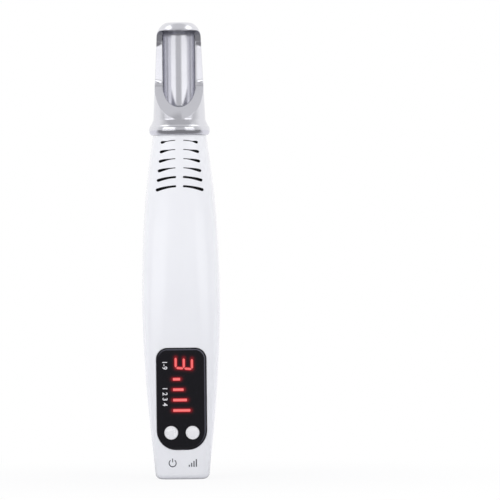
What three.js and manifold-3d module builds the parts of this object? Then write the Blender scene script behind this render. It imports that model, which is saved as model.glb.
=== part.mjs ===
// A corded picosecond laser pen: a two-shell handset with a plated focus head, a display panel with two
// buttons, a trigger on the back, and the laser module, heat sink, fan and boards that it holds.
// Millimetres. The origin is the centre of the base end face. +Z runs up the pen to its tip, the display
// faces -Y and +X is to the right of someone who looks at the display.
import * as THREE from "three";
import { mergeVertices } from "three/addons/utils/BufferGeometryUtils.js";
import Module from "manifold-3d";

const wasm = await Module();
wasm.setup();

// Housing: overall sizes and wall
const BODY_LENGTH = 146.7;
const BODY_WIDTH = 33.3;
const BODY_DEPTH = 29;
const WALL = 2;
const SHOULDER_WALL = 1;
const BASE_FILLET = 2.2;
const SEAM_GAP = 0.15;

// Housing stations from the base to the collar, chosen by eye from the outline of the real pen.
// z is a share of the body's length, width of half its width, front and back of half its depth.
// squareness is the exponent of the section: 2 is an ellipse, and more is boxier.
const BODY_STATION_SHARES = [
  { z: 0, width: 0.68, front: 0.64, back: 0.64, squareness: 4.4 },
  { z: 0.17, width: 0.832, front: 0.8, back: 0.81, squareness: 4.2 },
  { z: 0.34, width: 0.945, front: 0.92, back: 0.93, squareness: 3.7 },
  { z: 0.525, width: 1, front: 1, back: 1, squareness: 3.1 },
  { z: 0.68, width: 0.973, front: 0.985, back: 0.98, squareness: 2.8 },
  { z: 0.804, width: 0.903, front: 0.93, back: 0.92, squareness: 2.6 },
  { z: 0.913, width: 0.797, front: 0.855, back: 0.85, squareness: 2.4 },
  { z: 1, width: 0.69, front: 0.78, back: 0.78, squareness: 2.2 },
];

// Neck that the focus head snaps on to
const NECK_RADIUS = 9.4;
const NECK_BORE_RADIUS = 7.6;
const NECK_HEIGHT = 6.1;
const BEAD_HEIGHT = 3.2;
const BEAD_SIZE = 0.25;

// Focus head: a tapered tube whose front half is cut away between a closed rim and a sloped face
const HEAD_LENGTH = 48.15;
const HEAD_FOOT_RADIUS = 11.65;
const HEAD_COLLAR_RADIUS = 12.87;
const HEAD_ROOT_RADIUS = 11.15;
const HEAD_TIP_RADIUS = 9.4;
const HEAD_TIP_ROUND_IN = 3.6;
const HEAD_TIP_ROUND_DOWN = 5.2;
const HEAD_COLLAR_HEIGHT = 2.3;
const HEAD_FLARE_HEIGHT = 6.4;
const HEAD_BORE_RADIUS = 7;
const HEAD_FIT = 0.3;
const HEAD_SEAM = 0.15;
const RIM_THICKNESS = 3.5;
const RIM_OPENING_RADIUS = 4.6;
const RIM_EDGE = 0.35;
const WINDOW_FILLET = 4.7;
const WINDOW_CREASE_BELOW_TIP = 26.8;
const WINDOW_FOOT_BELOW_TIP = 41.6;
const WINDOW_SETBACK = 0;

// Vents: six rows of two curved slots, front and back
const VENT_ROW_COUNT = 6;
const VENT_PITCH = 3.92;
const VENT_TOP_BELOW_COLLAR = 2.15;
const VENT_HEIGHT = 1.15;
const VENT_CURVE_RADIUS = 30;
const VENT_INNER_END = 1.75;
const VENT_OUTER_END_TOP = 7.8;
const VENT_OUTER_END_BOTTOM = 10;

// Display panel, a curved black plate let into the front shell
const PANEL_SIDE_MARGIN = 2;
const PANEL_HEIGHT = 43.5;
const PANEL_CENTRE_HEIGHT = 34.4;
const PANEL_TOP_RADIUS = 4.8;
const PANEL_BOTTOM_RADIUS = 8.2;
const PANEL_PROUD = 0.35;
const PANEL_SUNK = 1;
const PANEL_CLEARANCE = 0.15;

// Readout behind the panel: one slanted digit and four level bars, which read down the pen
const MODULE_WIDTH = 12.4;
const MODULE_HEIGHT = 27.4;
const MODULE_DEPTH = 4.6;
const MODULE_SUNK = 0.1;
const MODULE_WALL = 0.9;
const MODULE_RIGHT = 0.6;
const MODULE_UP = 6.3;
const MODULE_DIVIDER_UP = 10.6;
const MODULE_CORNER = 0.6;
const GUIDE_THICKNESS = 0.8;
const DIGIT_TALL = 8;
const DIGIT_WIDE = 5;
const DIGIT_STROKE = 1.1;
const DIGIT_GAP = 0.18;
const DIGIT_RIGHT = 1.1;
const DIGIT_UP = 15;
const DIGIT_SLANT_DEGREES = 5;
const BAR_THICKNESS = 1.3;
const BAR_PITCH = 4.45;
const BAR_LEFT = 3.6;
const BAR_LENGTH_FIRST = 3.1;
const BAR_LENGTH_STEP = 1.4;
const BAR_COUNT = 4;
const BAR_TOP_UP = 8.5;
const SEGMENT_SUNK = 0.05;
const SEGMENT_CLEARANCE = 0.06;

// Front buttons and the small tactile switches under them
const BUTTON_RADIUS = 2.85;
const BUTTON_RIGHT = 4.55;
const BUTTON_DOWN = 14.4;
const BUTTON_PROUD = 0.8;
const BUTTON_RIM = 0.5;
const BUTTON_EDGE = 0.25;
const BUTTON_GROOVE = 0.2;
const BUTTON_CLEARANCE = 0.2;
const BUTTON_FLANGE = 0.65;
const BUTTON_FLANGE_THICKNESS = 0.6;
const BUTTON_STEM_RADIUS = 1.2;
const SWITCH_SIDE = 4.5;
const SWITCH_HEIGHT = 1.8;
const SWITCH_CORNER = 0.4;
const PLUNGER_RADIUS = 1;
const PLUNGER_SUNK = 0.6;
const PLUNGER_TRAVEL = 0.5;
const PLUNGER_CLEARANCE = 0.15;

// Trigger on the back and its taller tactile switch
const TRIGGER_WIDTH = 8;
const TRIGGER_LENGTH = 15.6;
const TRIGGER_BELOW_BOARD_TOP = 12;
const TRIGGER_PROUD = 0.9;
const TRIGGER_CLEARANCE = 0.2;
const TRIGGER_FLANGE = 1;
const TRIGGER_FLANGE_THICKNESS = 0.9;
const TRIGGER_EDGE = 0.5;
const TRIGGER_DISH_RADIUS = 22;
const TRIGGER_DISH_DEPTH = 0.35;
const TRIGGER_SWITCH_SIDE = 6;
const TRIGGER_SWITCH_HEIGHT = 3.5;
const TRIGGER_PLUNGER_RADIUS = 1.7;

// Boards
const BOARD_THICKNESS = 1.2;
const BOARD_CORNER = 1.2;
const DISPLAY_BOARD_MARGIN = 1.45;
const DISPLAY_BOARD_UP = 21;
const DISPLAY_BOARD_DOWN = 18.2;
const MAIN_BOARD_TO_BOSS = 0.4;
const MAIN_BOARD_BOTTOM = 17;
const MAIN_BOARD_BELOW_FAN = 4;
const MAIN_BOARD_FRONT = 3.2;

// Parts on the main board
const CAPACITOR_RADIUS = 3.15;
const CAPACITOR_LENGTH = 11;
const CAPACITOR_BELOW_TRIGGER = 10.2;
const CAPACITOR_GROOVE = 0.35;
const CAPACITOR_EDGE = 0.4;
const INDUCTOR_SIDE = 9;
const INDUCTOR_HEIGHT = 4.5;
const INDUCTOR_CORE_RADIUS = 2.6;
const INDUCTOR_WINDING_RADIUS = 3.9;
const INDUCTOR_FLANGE = 1.1;
const INDUCTOR_BELOW_TRIGGER = 1.5;
const CHIP_WIDTH = 5;
const CHIP_LENGTH = 6;
const CHIP_HEIGHT = 1.5;
const CHIP_NOTCH = 0.5;
const CHIP_BELOW_POST = 7;
const SOCKET_WIDTH = 6;
const SOCKET_LENGTH = 4;
const SOCKET_HEIGHT = 3.6;
const SOCKET_SLOT_WIDTH = 4.2;
const SOCKET_SLOT_HEIGHT = 2;
const SOCKET_SLOT_DEPTH = 2.4;
const SOCKET_IN = 4;
const SOCKET_BELOW_BOARD_TOP = 5;

// Screws, and the bosses and posts that take them
const SEAT_GAP = 0.1;
const SCREW_HEAD_RADIUS = 1.6;
const SCREW_HEAD_HEIGHT = 1.2;
const SCREW_HEAD_EDGE = 0.35;
const SCREW_SHANK_RADIUS = 0.85;
const SCREW_POINT = 0.8;
const SCREW_CROSS_WIDTH = 0.45;
const SCREW_CROSS_LENGTH = 1.9;
const SCREW_CROSS_DEPTH = 0.6;
const SCREW_CLEARANCE = 0.2;
const PILOT_CLEARANCE = 0.1;
const HOUSING_SCREW_LENGTH = 9;
const HOUSING_SCREW_SEAT = 4;
const BOSS_RADIUS = 2.6;
const BOSS_TO_JACK = 0.25;
const LOWER_SCREW_HEIGHT = 8.4;
const UPPER_SCREW_IN = 4.5;
const UPPER_SCREW_ABOVE_TRIGGER = 6;
const BOARD_SCREW_LENGTH = 5;
const BOARD_POST_RADIUS = 2.1;
const BOARD_POST_ABOVE_BOTTOM = 7;
const BOARD_POST_BELOW_TRIGGER = 17;
const DISPLAY_SCREW_LENGTH = 3.6;
const DISPLAY_POST_RADIUS = 1.7;
const DISPLAY_POST_RIGHT = 7.5;
const DISPLAY_POST_UP = 16;
const DISPLAY_POST_DOWN = 9.6;

// Power inlet for a 5.5 mm barrel plug
const JACK_WIDTH = 9;
const JACK_DEPTH = 8.8;
const JACK_LENGTH = 11;
const JACK_COLLAR_RADIUS = 3.9;
const JACK_COLLAR_CLEARANCE = 0.2;
const JACK_BORE_RADIUS = 2.85;
const JACK_BORE_LENGTH = 9.6;
const JACK_RECESS = 0.4;
const JACK_PIN_RADIUS = 1;
const JACK_PIN_RECESS = 1.1;
const JACK_TAIL = 2.6;
const JACK_SPRING_WIDTH = 1.8;
const JACK_SPRING_THICKNESS = 0.3;
const JACK_SPRING_BOW = 0.5;
const JACK_SPRING_SLOT = 0.9;
const JACK_STOP_THICKNESS = 1.2;
const JACK_STOP_OPENING = 4.2;
const JACK_STOP_WIDTH = 14;

// Heat sink, an extruded tube with radial fins, and the ribs that hold it
const SINK_BELOW_SHOULDER = 3.7;
const SINK_LENGTH = 29.5;
const SINK_CORE_SHARE = 0.852;
const SINK_CLEARANCE = 0.9;
const SINK_FIN_COUNT = 16;
const SINK_FIN_THICKNESS = 0.9;
const SINK_RIB_THICKNESS = 4;
const SINK_RIB_UP = 4.5;

// Laser module: the barrel's radius is a share of the sink's, and the rest are shares of the barrel's
const BARREL_SHARE = 0.682;
const BARREL_ABOVE_NECK = 2.1;
const BARREL_LENGTH = 33.9;
const BARREL_FIT = 0.1;
const DIODE_SEAT_DEPTH = 6.5;
const DIODE_FLANGE_SHARE = 0.75;
const DIODE_FLANGE_THICKNESS = 1.5;
const DIODE_CAN_SHARE = 0.45;
const DIODE_CAN_HEIGHT = 3.4;
const DIODE_LEG_RADIUS = 0.3;
const DIODE_LEG_LENGTH = 5;
const DIODE_LEG_CIRCLE = 1.4;
const DIODE_LEG_COUNT = 3;
const BEAM_BORE_SHARE = 0.517;
const LENS_SHARE = 0.65;
const LENS_EDGE = 1.2;
const LENS_CROWN = 0.9;
const LENS_CLAMP_SHARE = 0.77;
const LENS_SEAT_DEPTH = 6.4;
const NOZZLE_SHARE = 0.5;
const NOZZLE_BORE_SHARE = 0.35;
const NOZZLE_HEIGHT = 4.6;
const NOZZLE_EDGE = 0.4;
const BEZEL_THICKNESS = 3;
const BEZEL_EDGE = 0.5;

// Fan, a square one about 20 mm wide, which blows up through the fins
const FAN_HEIGHT = 6;
const FAN_BELOW_SINK = 4.5;
const FAN_SIDE_SPACE = 3.8;
const FAN_BACK_SPACE = 1.9;
const FAN_CORNER = 2;
const FAN_HOLE_RADIUS = 0.8;
const FAN_HOLE_IN = 1.6;
const FAN_DUCT_WALL = 0.8;
const FAN_BASE_RADIUS = 4.6;
const FAN_BASE_THICKNESS = 1.1;
const FAN_STRUT_WIDTH = 1.3;
const FAN_STRUT_COUNT = 3;
const FAN_HUB_RADIUS = 4.8;
const FAN_HUB_WALL = 0.8;
const FAN_RUNNING_GAP = 0.4;
const FAN_BLADE_COUNT = 7;
const FAN_BLADE_THICKNESS = 0.6;
const FAN_BLADE_CHORD = 4.2;
const FAN_BLADE_CAMBER = 0.5;
const FAN_BLADE_ROOT_DEGREES = 50;
const FAN_BLADE_TIP_DEGREES = 32;
const FAN_SHAFT_RADIUS = 0.75;
const FAN_SHAFT_CLEARANCE = 0.1;
const FAN_BEARING_RADIUS = 1.9;
const FAN_STATOR_RADIUS = 3.6;
const FAN_STATOR_HEIGHT = 2;
const SHELF_THICKNESS = 1.1;
const SHELF_GAP = 0.2;
const LEAD_WAY_RADIUS = 1.9;

// Leads and ribbon inside the pen
const LEAD_RADIUS = 0.5;
const LEAD_SPREAD = 0.7;
const LEAD_END_GAP = 0.3;
const RIBBON_WIDTH = 7;
const RIBBON_THICKNESS = 0.3;
const RIBBON_ARCH = 5.6;
const RIBBON_ABOVE_POST = 3;

// Cutters run this far past the faces that they cut
const OVERRUN = 4;

// Facets. A corner or an arc in an outline gets two facets for each of its steps.
const BODY_SIDES = 32;
const BODY_RING_COUNT = 12;
const CAVITY_SIDES = 20;
const CAVITY_RING_COUNT = 7;
const FILLET_STEPS = 3;
const CORNER_STEPS = 2;
const SMALL_CORNER_STEPS = 1;
const HEAD_SIDES = 32;
const INNER_SIDES = 20;
const ROUND_SIDES = 14;
const SMALL_SIDES = 8;
const LEAD_SIDES = 6;
const LEAD_STEPS = 8;
const MERGE_DISTANCE = 1e-4;

const FRONT = -1;
const BACK = 1;
const QUARTER = Math.PI / 2;
const radians = THREE.MathUtils.degToRad;

// Materials

const shown = (color, roughness, metalness) =>
  new THREE.MeshStandardMaterial({ color, roughness, metalness, flatShading: true });

const whiteGloss = shown("#eef0f4", 0.28, 0);
const satinChrome = shown("#cfcfd6", 0.2, 1);
const blackGloss = shown("#17161b", 0.12, 0);
const silverKey = shown("#d9dade", 0.35, 0.4);
const redLight = shown("#ff3b33", 0.4, 0);
const blackPlastic = shown("#202124", 0.5, 0);
const boardGreen = shown("#1f5c3a", 0.45, 0);
const steel = shown("#b9bcc0", 0.3, 1);
const brass = shown("#c8a24a", 0.3, 1);
const aluminium = shown("#a9adb3", 0.38, 1);
const copper = shown("#b5683c", 0.35, 1);
const ferrite = shown("#3a3b3e", 0.7, 0);
const glass = shown("#bfe0ee", 0.05, 0);
const redSleeve = shown("#b3211c", 0.5, 0);
const blackSleeve = shown("#1a1a1c", 0.5, 0);
const ribbonWhite = shown("#e6e4dc", 0.5, 0);

// Solids: a shape below is a closed BufferGeometry, or the solid that a join or a cut of them gives

function solidOf(shape) {
  if (!shape.isBufferGeometry) return shape;
  const bare = shape.index ? shape.toNonIndexed() : shape.clone();
  bare.deleteAttribute("normal");
  bare.deleteAttribute("uv");
  const merged = mergeVertices(bare, MERGE_DISTANCE);
  return new wasm.Manifold(
    new wasm.Mesh({
      numProp: 3,
      vertProperties: merged.attributes.position.array,
      triVerts: new Uint32Array(merged.index.array),
    }),
  );
}

function geometryOf(shape) {
  if (shape.isBufferGeometry) return shape;
  const mesh = shape.getMesh();
  return new THREE.BufferGeometry()
    .setAttribute("position", new THREE.BufferAttribute(mesh.vertProperties, 3))
    .setIndex(new THREE.BufferAttribute(mesh.triVerts, 1));
}

const combine = (how) => (first, ...others) =>
  others.reduce((made, next) => made[how](solidOf(next)), solidOf(first));

const join = combine("add");
const cut = combine("subtract");
const common = combine("intersect");

// Shapes

const at = (x, y, z) => new THREE.Vector3(x, y, z);

function block(low, high) {
  const size = at(0, 0, 0).subVectors(high, low);
  const centre = at(0, 0, 0).addVectors(low, high).divideScalar(2);
  return new THREE.BoxGeometry(size.x, size.y, size.z).translate(centre.x, centre.y, centre.z);
}

// A cylinder along Z from one height to another.
function rod(radius, from, to, sides = ROUND_SIDES) {
  return new THREE.CylinderGeometry(radius, radius, to - from, sides)
    .rotateX(QUARTER)
    .translate(0, 0, (from + to) / 2);
}

// Turns a profile of [radius, height] pairs about Z.
function revolve(profile, sides = ROUND_SIDES) {
  const points = profile.map(([radius, height]) => new THREE.Vector2(radius, height));
  return new THREE.LatheGeometry(points, sides).rotateX(QUARTER);
}

function prism(shape, from, to, curveSegments = CORNER_STEPS) {
  const settings = { depth: to - from, bevelEnabled: false, curveSegments };
  return new THREE.ExtrudeGeometry(shape, settings).translate(0, 0, from);
}

// A rectangle about a centre, with one radius for its upper corners and one for its lower corners.
function roundedRectangle(width, height, upper, lower = upper, x = 0, y = 0) {
  const [left, right] = [x - width / 2, x + width / 2];
  const [bottom, top] = [y - height / 2, y + height / 2];
  const shape = new THREE.Shape();
  shape.moveTo(left + lower, bottom);
  shape.lineTo(right - lower, bottom);
  shape.absarc(right - lower, bottom + lower, lower, -QUARTER, 0);
  shape.lineTo(right, top - upper);
  shape.absarc(right - upper, top - upper, upper, 0, QUARTER);
  shape.lineTo(left + upper, top);
  shape.absarc(left + upper, top - upper, upper, QUARTER, 2 * QUARTER);
  shape.lineTo(left, bottom + lower);
  shape.absarc(left + lower, bottom + lower, lower, 2 * QUARTER, 3 * QUARTER);
  return shape;
}

const polygon = (points) => new THREE.Shape(points.map(([x, y]) => new THREE.Vector2(x, y)));

// A quarter ellipse of [radius, height] pairs that ends at the top, closer to the axis.
function roundOver(radius, top, inwards, down, steps = FILLET_STEPS) {
  return Array.from({ length: steps + 1 }, (_, i) => {
    const angle = (QUARTER * i) / steps;
    return [radius - inwards * (1 - Math.cos(angle)), top - down * (1 - Math.sin(angle))];
  });
}

// Stands a shape made along Z on the front or the back: its Z then runs outwards from the seam.
function facing(side, shape, x = 0, height = 0) {
  const turn = side === BACK ? 2 * QUARTER : 0;
  return geometryOf(shape).rotateX(QUARTER).rotateZ(turn).translate(x, 0, height);
}

function named(name, shape, material) {
  const mesh = new THREE.Mesh(geometryOf(shape), material);
  mesh.name = name;
  return mesh;
}

// Skins a stack of rings and closes each end with a fan about the middle of its ring.
function loft(rings) {
  const sides = rings[0].length;
  const ends = [rings[0], rings[rings.length - 1]];
  const middles = ends.map((ring) => ring.reduce((sum, point) => sum.add(point), at(0, 0, 0)));
  const points = [...rings.flat(), ...middles.map((middle) => middle.divideScalar(sides))];
  const last = (rings.length - 1) * sides;
  const centre = rings.length * sides;
  const indices = [];
  for (let side = 0; side < sides; side += 1) {
    const next = (side + 1) % sides;
    for (let ring = 0; ring < last; ring += sides) {
      indices.push(ring + side, ring + next, ring + sides + next);
      indices.push(ring + side, ring + sides + next, ring + sides + side);
    }
    indices.push(centre, next, side);
    indices.push(centre + 1, last + side, last + next);
  }
  return new THREE.BufferGeometry().setFromPoints(points).setIndex(indices);
}

// Housing form

const stationCurve = (vectorOf) =>
  new THREE.CatmullRomCurve3(BODY_STATION_SHARES.map(vectorOf), false, "catmullrom");
const outlineCurve = stationCurve((s) => at(s.width, s.front, s.z));
const sectionCurve = stationCurve((s) => at(s.squareness, s.back, s.z));
const BISECTION_STEPS = 40;

// Half width, front depth, back depth and squareness of the body at a height.
function sectionAt(height) {
  const share = THREE.MathUtils.clamp(height / BODY_LENGTH, 0, 1);
  let [low, high] = [0, 1];
  for (let step = 0; step < BISECTION_STEPS; step += 1) {
    const middle = (low + high) / 2;
    if (outlineCurve.getPoint(middle).z < share) low = middle;
    else high = middle;
  }
  const outline = outlineCurve.getPoint(low);
  const section = sectionCurve.getPoint(low);
  return {
    halfWidth: (outline.x * BODY_WIDTH) / 2,
    front: (outline.y * BODY_DEPTH) / 2,
    back: (section.y * BODY_DEPTH) / 2,
    squareness: section.x,
  };
}

const signedPower = (value, power) => Math.sign(value) * Math.abs(value) ** power;

function sectionRing(height, inset, sides) {
  const { halfWidth, front, back, squareness } = sectionAt(height);
  return Array.from({ length: sides }, (_, i) => {
    const angle = (4 * QUARTER * i) / sides;
    const depth = i * 2 < sides ? back : front;
    const across = signedPower(Math.cos(angle), 2 / squareness);
    const along = i % (sides / 2) === 0 ? 0 : signedPower(Math.sin(angle), 2 / squareness);
    return at((halfWidth - inset) * across, (depth - inset) * along, height);
  });
}

// The body's form between two heights, inset by a wall or grown by a negative inset.
function formBetween(from, to, inset, ringCount, sides) {
  const start = from + BASE_FILLET;
  const rings = Array.from({ length: ringCount }, (_, i) =>
    sectionRing(THREE.MathUtils.lerp(start, to, i / (ringCount - 1)), inset, sides),
  );
  for (let step = 1; step <= FILLET_STEPS; step += 1) {
    const angle = (QUARTER * step) / FILLET_STEPS;
    const height = start - BASE_FILLET * Math.sin(angle);
    rings.unshift(sectionRing(height, inset + BASE_FILLET * (1 - Math.cos(angle)), sides));
  }
  return loft(rings);
}

const bodyForm = (inset) => formBetween(0, BODY_LENGTH, inset, BODY_RING_COUNT, BODY_SIDES);
const hollowForm = (wall, shoulder) =>
  formBetween(wall, BODY_LENGTH - shoulder, wall, CAVITY_RING_COUNT, CAVITY_SIDES);
const cavity = hollowForm(WALL, SHOULDER_WALL);
const midWall = hollowForm(WALL / 2, SHOULDER_WALL / 2);

// Distance from the seam to the body's surface, or to a surface inset from it, on one side.
function depthAt(side, x, height, inset = 0) {
  const { halfWidth, front, back, squareness } = sectionAt(height);
  const share = Math.min(Math.abs(x) / (halfWidth - inset), 1);
  return ((side === BACK ? back : front) - inset) * (1 - share ** squareness) ** (1 / squareness);
}

// Heights that several pieces share

const neckTop = BODY_LENGTH + NECK_HEIGHT;
const headFoot = BODY_LENGTH + HEAD_SEAM;
const tip = headFoot + HEAD_LENGTH;
const socketTop = neckTop + HEAD_FIT;
const barrelTop = neckTop + BARREL_ABOVE_NECK;
const barrelBottom = barrelTop - BARREL_LENGTH;
const sinkTop = BODY_LENGTH - SHOULDER_WALL - SINK_BELOW_SHOULDER;
const sinkBottom = sinkTop - SINK_LENGTH;
const fanTop = sinkBottom - FAN_BELOW_SINK;
const fanBottom = fanTop - FAN_HEIGHT;
const mainBoardTop = fanBottom - MAIN_BOARD_BELOW_FAN;
const mainBoardBack = MAIN_BOARD_FRONT + BOARD_THICKNESS;
const triggerCentre = mainBoardTop - TRIGGER_BELOW_BOARD_TOP;
const lowerPost = MAIN_BOARD_BOTTOM + BOARD_POST_ABOVE_BOTTOM;
const upperPost = triggerCentre - BOARD_POST_BELOW_TRIGGER;
const jackBottom = WALL + SEAT_GAP;
const jackTop = jackBottom + JACK_LENGTH;
const tailTop = jackTop + JACK_TAIL;

// What is round or square about the axis, and follows the room within the walls

const roomAt = ({ halfWidth, front, back }) => [halfWidth - WALL, Math.min(front, back) - WALL];
const sinkRadius = Math.min(...roomAt(sectionAt(sinkTop))) - SINK_CLEARANCE;
const [fanRoomWide, fanRoomDeep] = roomAt(sectionAt(fanTop));
const fanHalf = Math.min(fanRoomWide - FAN_SIDE_SPACE, fanRoomDeep - FAN_BACK_SPACE);
const ductRadius = fanHalf - FAN_DUCT_WALL;
const coreRadius = sinkRadius * SINK_CORE_SHARE;
const barrelRadius = sinkRadius * BARREL_SHARE;
const lensRadius = barrelRadius * LENS_SHARE;
const nozzleRadius = barrelRadius * NOZZLE_SHARE;
const lowerScrewRight = JACK_WIDTH / 2 + BOSS_TO_JACK + BOSS_RADIUS;
const upperScrewHeight = triggerCentre + UPPER_SCREW_ABOVE_TRIGGER;
const upperScrewRight = sectionAt(upperScrewHeight).halfWidth - UPPER_SCREW_IN;
const mainBoardHalf = upperScrewRight - BOSS_RADIUS - MAIN_BOARD_TO_BOSS;
const socketRight = mainBoardHalf - SOCKET_IN;

// Display: X runs to the right, Y up the panel and Z straight out of it, from the shell's surface

const panelEnd = PANEL_HEIGHT / 2;
const panelWidth = 2 * (sectionAt(PANEL_CENTRE_HEIGHT - panelEnd).halfWidth - PANEL_SIDE_MARGIN);
const panelDepths = [-panelEnd, 0, panelEnd].map((up) => sectionAt(PANEL_CENTRE_HEIGHT + up).front);
const panelTilt = Math.atan2(panelDepths[2] - panelDepths[0], PANEL_HEIGHT);
const displayFrame = new THREE.Matrix4()
  .makeTranslation(0, -panelDepths[1], PANEL_CENTRE_HEIGHT)
  .multiply(new THREE.Matrix4().makeRotationX(QUARTER + panelTilt));
const onDisplay = (shape) => geometryOf(shape).clone().applyMatrix4(displayFrame);
const displayPoint = (x, y, z) => at(x, y, z).applyMatrix4(displayFrame);

// How far the shell's surface stands out of the display's plane, at a place on the display.
function swellAt(x, y) {
  const place = displayPoint(x, y, 0);
  return (depthAt(FRONT, place.x, place.z) + place.y) * Math.cos(panelTilt);
}

const buttonPlaces = [-BUTTON_RIGHT, BUTTON_RIGHT].map((x) => [x, -BUTTON_DOWN]);
const buttonSurface = swellAt(BUTTON_RIGHT, -BUTTON_DOWN);
const flangeEdge = BUTTON_RIGHT + BUTTON_RADIUS + BUTTON_FLANGE;
const flangeTop = swellAt(flangeEdge, -BUTTON_DOWN) - PANEL_SUNK - BUTTON_CLEARANCE;
const moduleCorner = swellAt(MODULE_RIGHT + MODULE_WIDTH / 2, MODULE_UP + MODULE_HEIGHT / 2);
const moduleTop = moduleCorner - PANEL_SUNK - MODULE_SUNK;
const boardTop = moduleTop - MODULE_DEPTH - SEAT_GAP;
const boardBack = boardTop - BOARD_THICKNESS;
const switchTop = boardTop + SEAT_GAP + SWITCH_HEIGHT;
const stemBottom = (flangeTop - BUTTON_FLANGE_THICKNESS + switchTop) / 2;
const displayPosts = [
  [-DISPLAY_POST_RIGHT, DISPLAY_POST_UP],
  [DISPLAY_POST_RIGHT, -DISPLAY_POST_DOWN],
];

// Trigger: distances outwards from the seam

const triggerFlangeEnds = [-1, 1].map((end) => {
  const height = triggerCentre + end * (TRIGGER_LENGTH / 2 + TRIGGER_FLANGE);
  return depthAt(BACK, TRIGGER_WIDTH / 2 + TRIGGER_FLANGE, height, WALL);
});
const triggerTop = sectionAt(triggerCentre).back + TRIGGER_PROUD;
const triggerFlangeTop = Math.min(...triggerFlangeEnds) - TRIGGER_CLEARANCE;
const triggerFlangeBottom = triggerFlangeTop - TRIGGER_FLANGE_THICKNESS;
const triggerSwitchTop = mainBoardBack + SEAT_GAP + TRIGGER_SWITCH_HEIGHT;

// Screws

const screwPlaces = [
  [-lowerScrewRight, LOWER_SCREW_HEIGHT],
  [lowerScrewRight, LOWER_SCREW_HEIGHT],
  [-upperScrewRight, upperScrewHeight],
  [upperScrewRight, upperScrewHeight],
];
const boardScrewHeights = [lowerPost, upperPost];
const pilotRadius = SCREW_SHANK_RADIUS + PILOT_CLEARANCE;
const clearRadius = SCREW_SHANK_RADIUS + SCREW_CLEARANCE;

// A pan-head self-tapping screw whose head seats at zero and whose shank runs down.
function screw(length) {
  const bar = (long, wide) =>
    block(
      at(-long / 2, -wide / 2, SCREW_HEAD_HEIGHT - SCREW_CROSS_DEPTH),
      at(long / 2, wide / 2, SCREW_HEAD_HEIGHT + OVERRUN),
    );
  const turned = revolve(
    [
      [0, -length],
      [SCREW_SHANK_RADIUS, SCREW_POINT - length],
      [SCREW_SHANK_RADIUS, 0],
      [SCREW_HEAD_RADIUS, 0],
      [SCREW_HEAD_RADIUS, SCREW_HEAD_HEIGHT - SCREW_HEAD_EDGE],
      [SCREW_HEAD_RADIUS - SCREW_HEAD_EDGE, SCREW_HEAD_HEIGHT],
      [0, SCREW_HEAD_HEIGHT],
    ],
    SMALL_SIDES,
  );
  const cross = join(bar(SCREW_CROSS_LENGTH, SCREW_CROSS_WIDTH), bar(SCREW_CROSS_WIDTH, SCREW_CROSS_LENGTH));
  return geometryOf(cut(turned, cross));
}

function housingScrews() {
  return screwPlaces.map(([x, height], i) => {
    const seated = screw(HOUSING_SCREW_LENGTH).translate(0, 0, HOUSING_SCREW_SEAT);
    return named(`housing_screw_${i + 1}`, facing(BACK, seated, x, height), steel);
  });
}

function boardScrews() {
  return boardScrewHeights.map((height, i) => {
    const seated = screw(BOARD_SCREW_LENGTH).translate(0, 0, SEAT_GAP - MAIN_BOARD_FRONT);
    return named(`board_screw_${i + 1}`, facing(FRONT, seated, 0, height), steel);
  });
}

function displayScrews() {
  return displayPosts.map(([x, y], i) => {
    const turnedBack = screw(DISPLAY_SCREW_LENGTH).rotateX(2 * QUARTER);
    const seated = onDisplay(turnedBack.translate(x, y, boardBack - SEAT_GAP));
    return named(`display_screw_${i + 1}`, seated, steel);
  });
}

// Shells

function halfSpace(side) {
  const [near, far] = [(side * SEAM_GAP) / 2, side * BODY_DEPTH];
  return block(at(-BODY_WIDTH, Math.min(near, far), -OVERRUN), at(BODY_WIDTH, Math.max(near, far), tip));
}

// One slot: a strip of a wide ring whose crown would be at the row's height.
function ventSlot(outerEnd, hand) {
  const [near, far] = [VENT_INNER_END, outerEnd].map((x) => Math.asin(x / VENT_CURVE_RADIUS));
  const [from, to] = hand > 0 ? [QUARTER - far, QUARTER - near] : [QUARTER + near, QUARTER + far];
  const shape = new THREE.Shape();
  shape.absarc(0, -VENT_CURVE_RADIUS, VENT_CURVE_RADIUS + VENT_HEIGHT / 2, from, to, false);
  shape.absarc(0, -VENT_CURVE_RADIUS, VENT_CURVE_RADIUS - VENT_HEIGHT / 2, to, from, true);
  return prism(shape, WALL, BODY_DEPTH, SMALL_CORNER_STEPS);
}

function vents(side) {
  const slots = [];
  for (let row = 0; row < VENT_ROW_COUNT; row += 1) {
    const down = row / (VENT_ROW_COUNT - 1);
    const outerEnd = THREE.MathUtils.lerp(VENT_OUTER_END_TOP, VENT_OUTER_END_BOTTOM, down);
    const height = BODY_LENGTH - VENT_TOP_BELOW_COLLAR - VENT_PITCH * row;
    for (const hand of [-1, 1]) slots.push(facing(side, ventSlot(outerEnd, hand), 0, height));
  }
  return slots;
}

// The neck's profile with its snap bead or, grown by a clearance, the socket that takes it.
function neckProfile(clearance, from, to) {
  const radius = NECK_RADIUS + clearance;
  const bead = BODY_LENGTH + BEAD_HEIGHT;
  return [
    [0, from],
    [radius, from],
    [radius, bead - 2 * BEAD_SIZE],
    [radius + BEAD_SIZE, bead],
    [radius, bead + 2 * BEAD_SIZE],
    [radius, to],
    [0, to],
  ];
}

// A plate across the body, with a round opening.
function crossPlate(height, thickness, opening) {
  const low = height - thickness / 2;
  const high = height + thickness / 2;
  const plate = loft([low, high].map((level) => sectionRing(level, WALL / 2, CAVITY_SIDES)));
  return cut(plate, rod(opening, low - OVERRUN, high + OVERRUN, INNER_SIDES));
}

const leadWayRight = (fanHalf + sectionAt(fanBottom).halfWidth - WALL) / 2;

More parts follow.
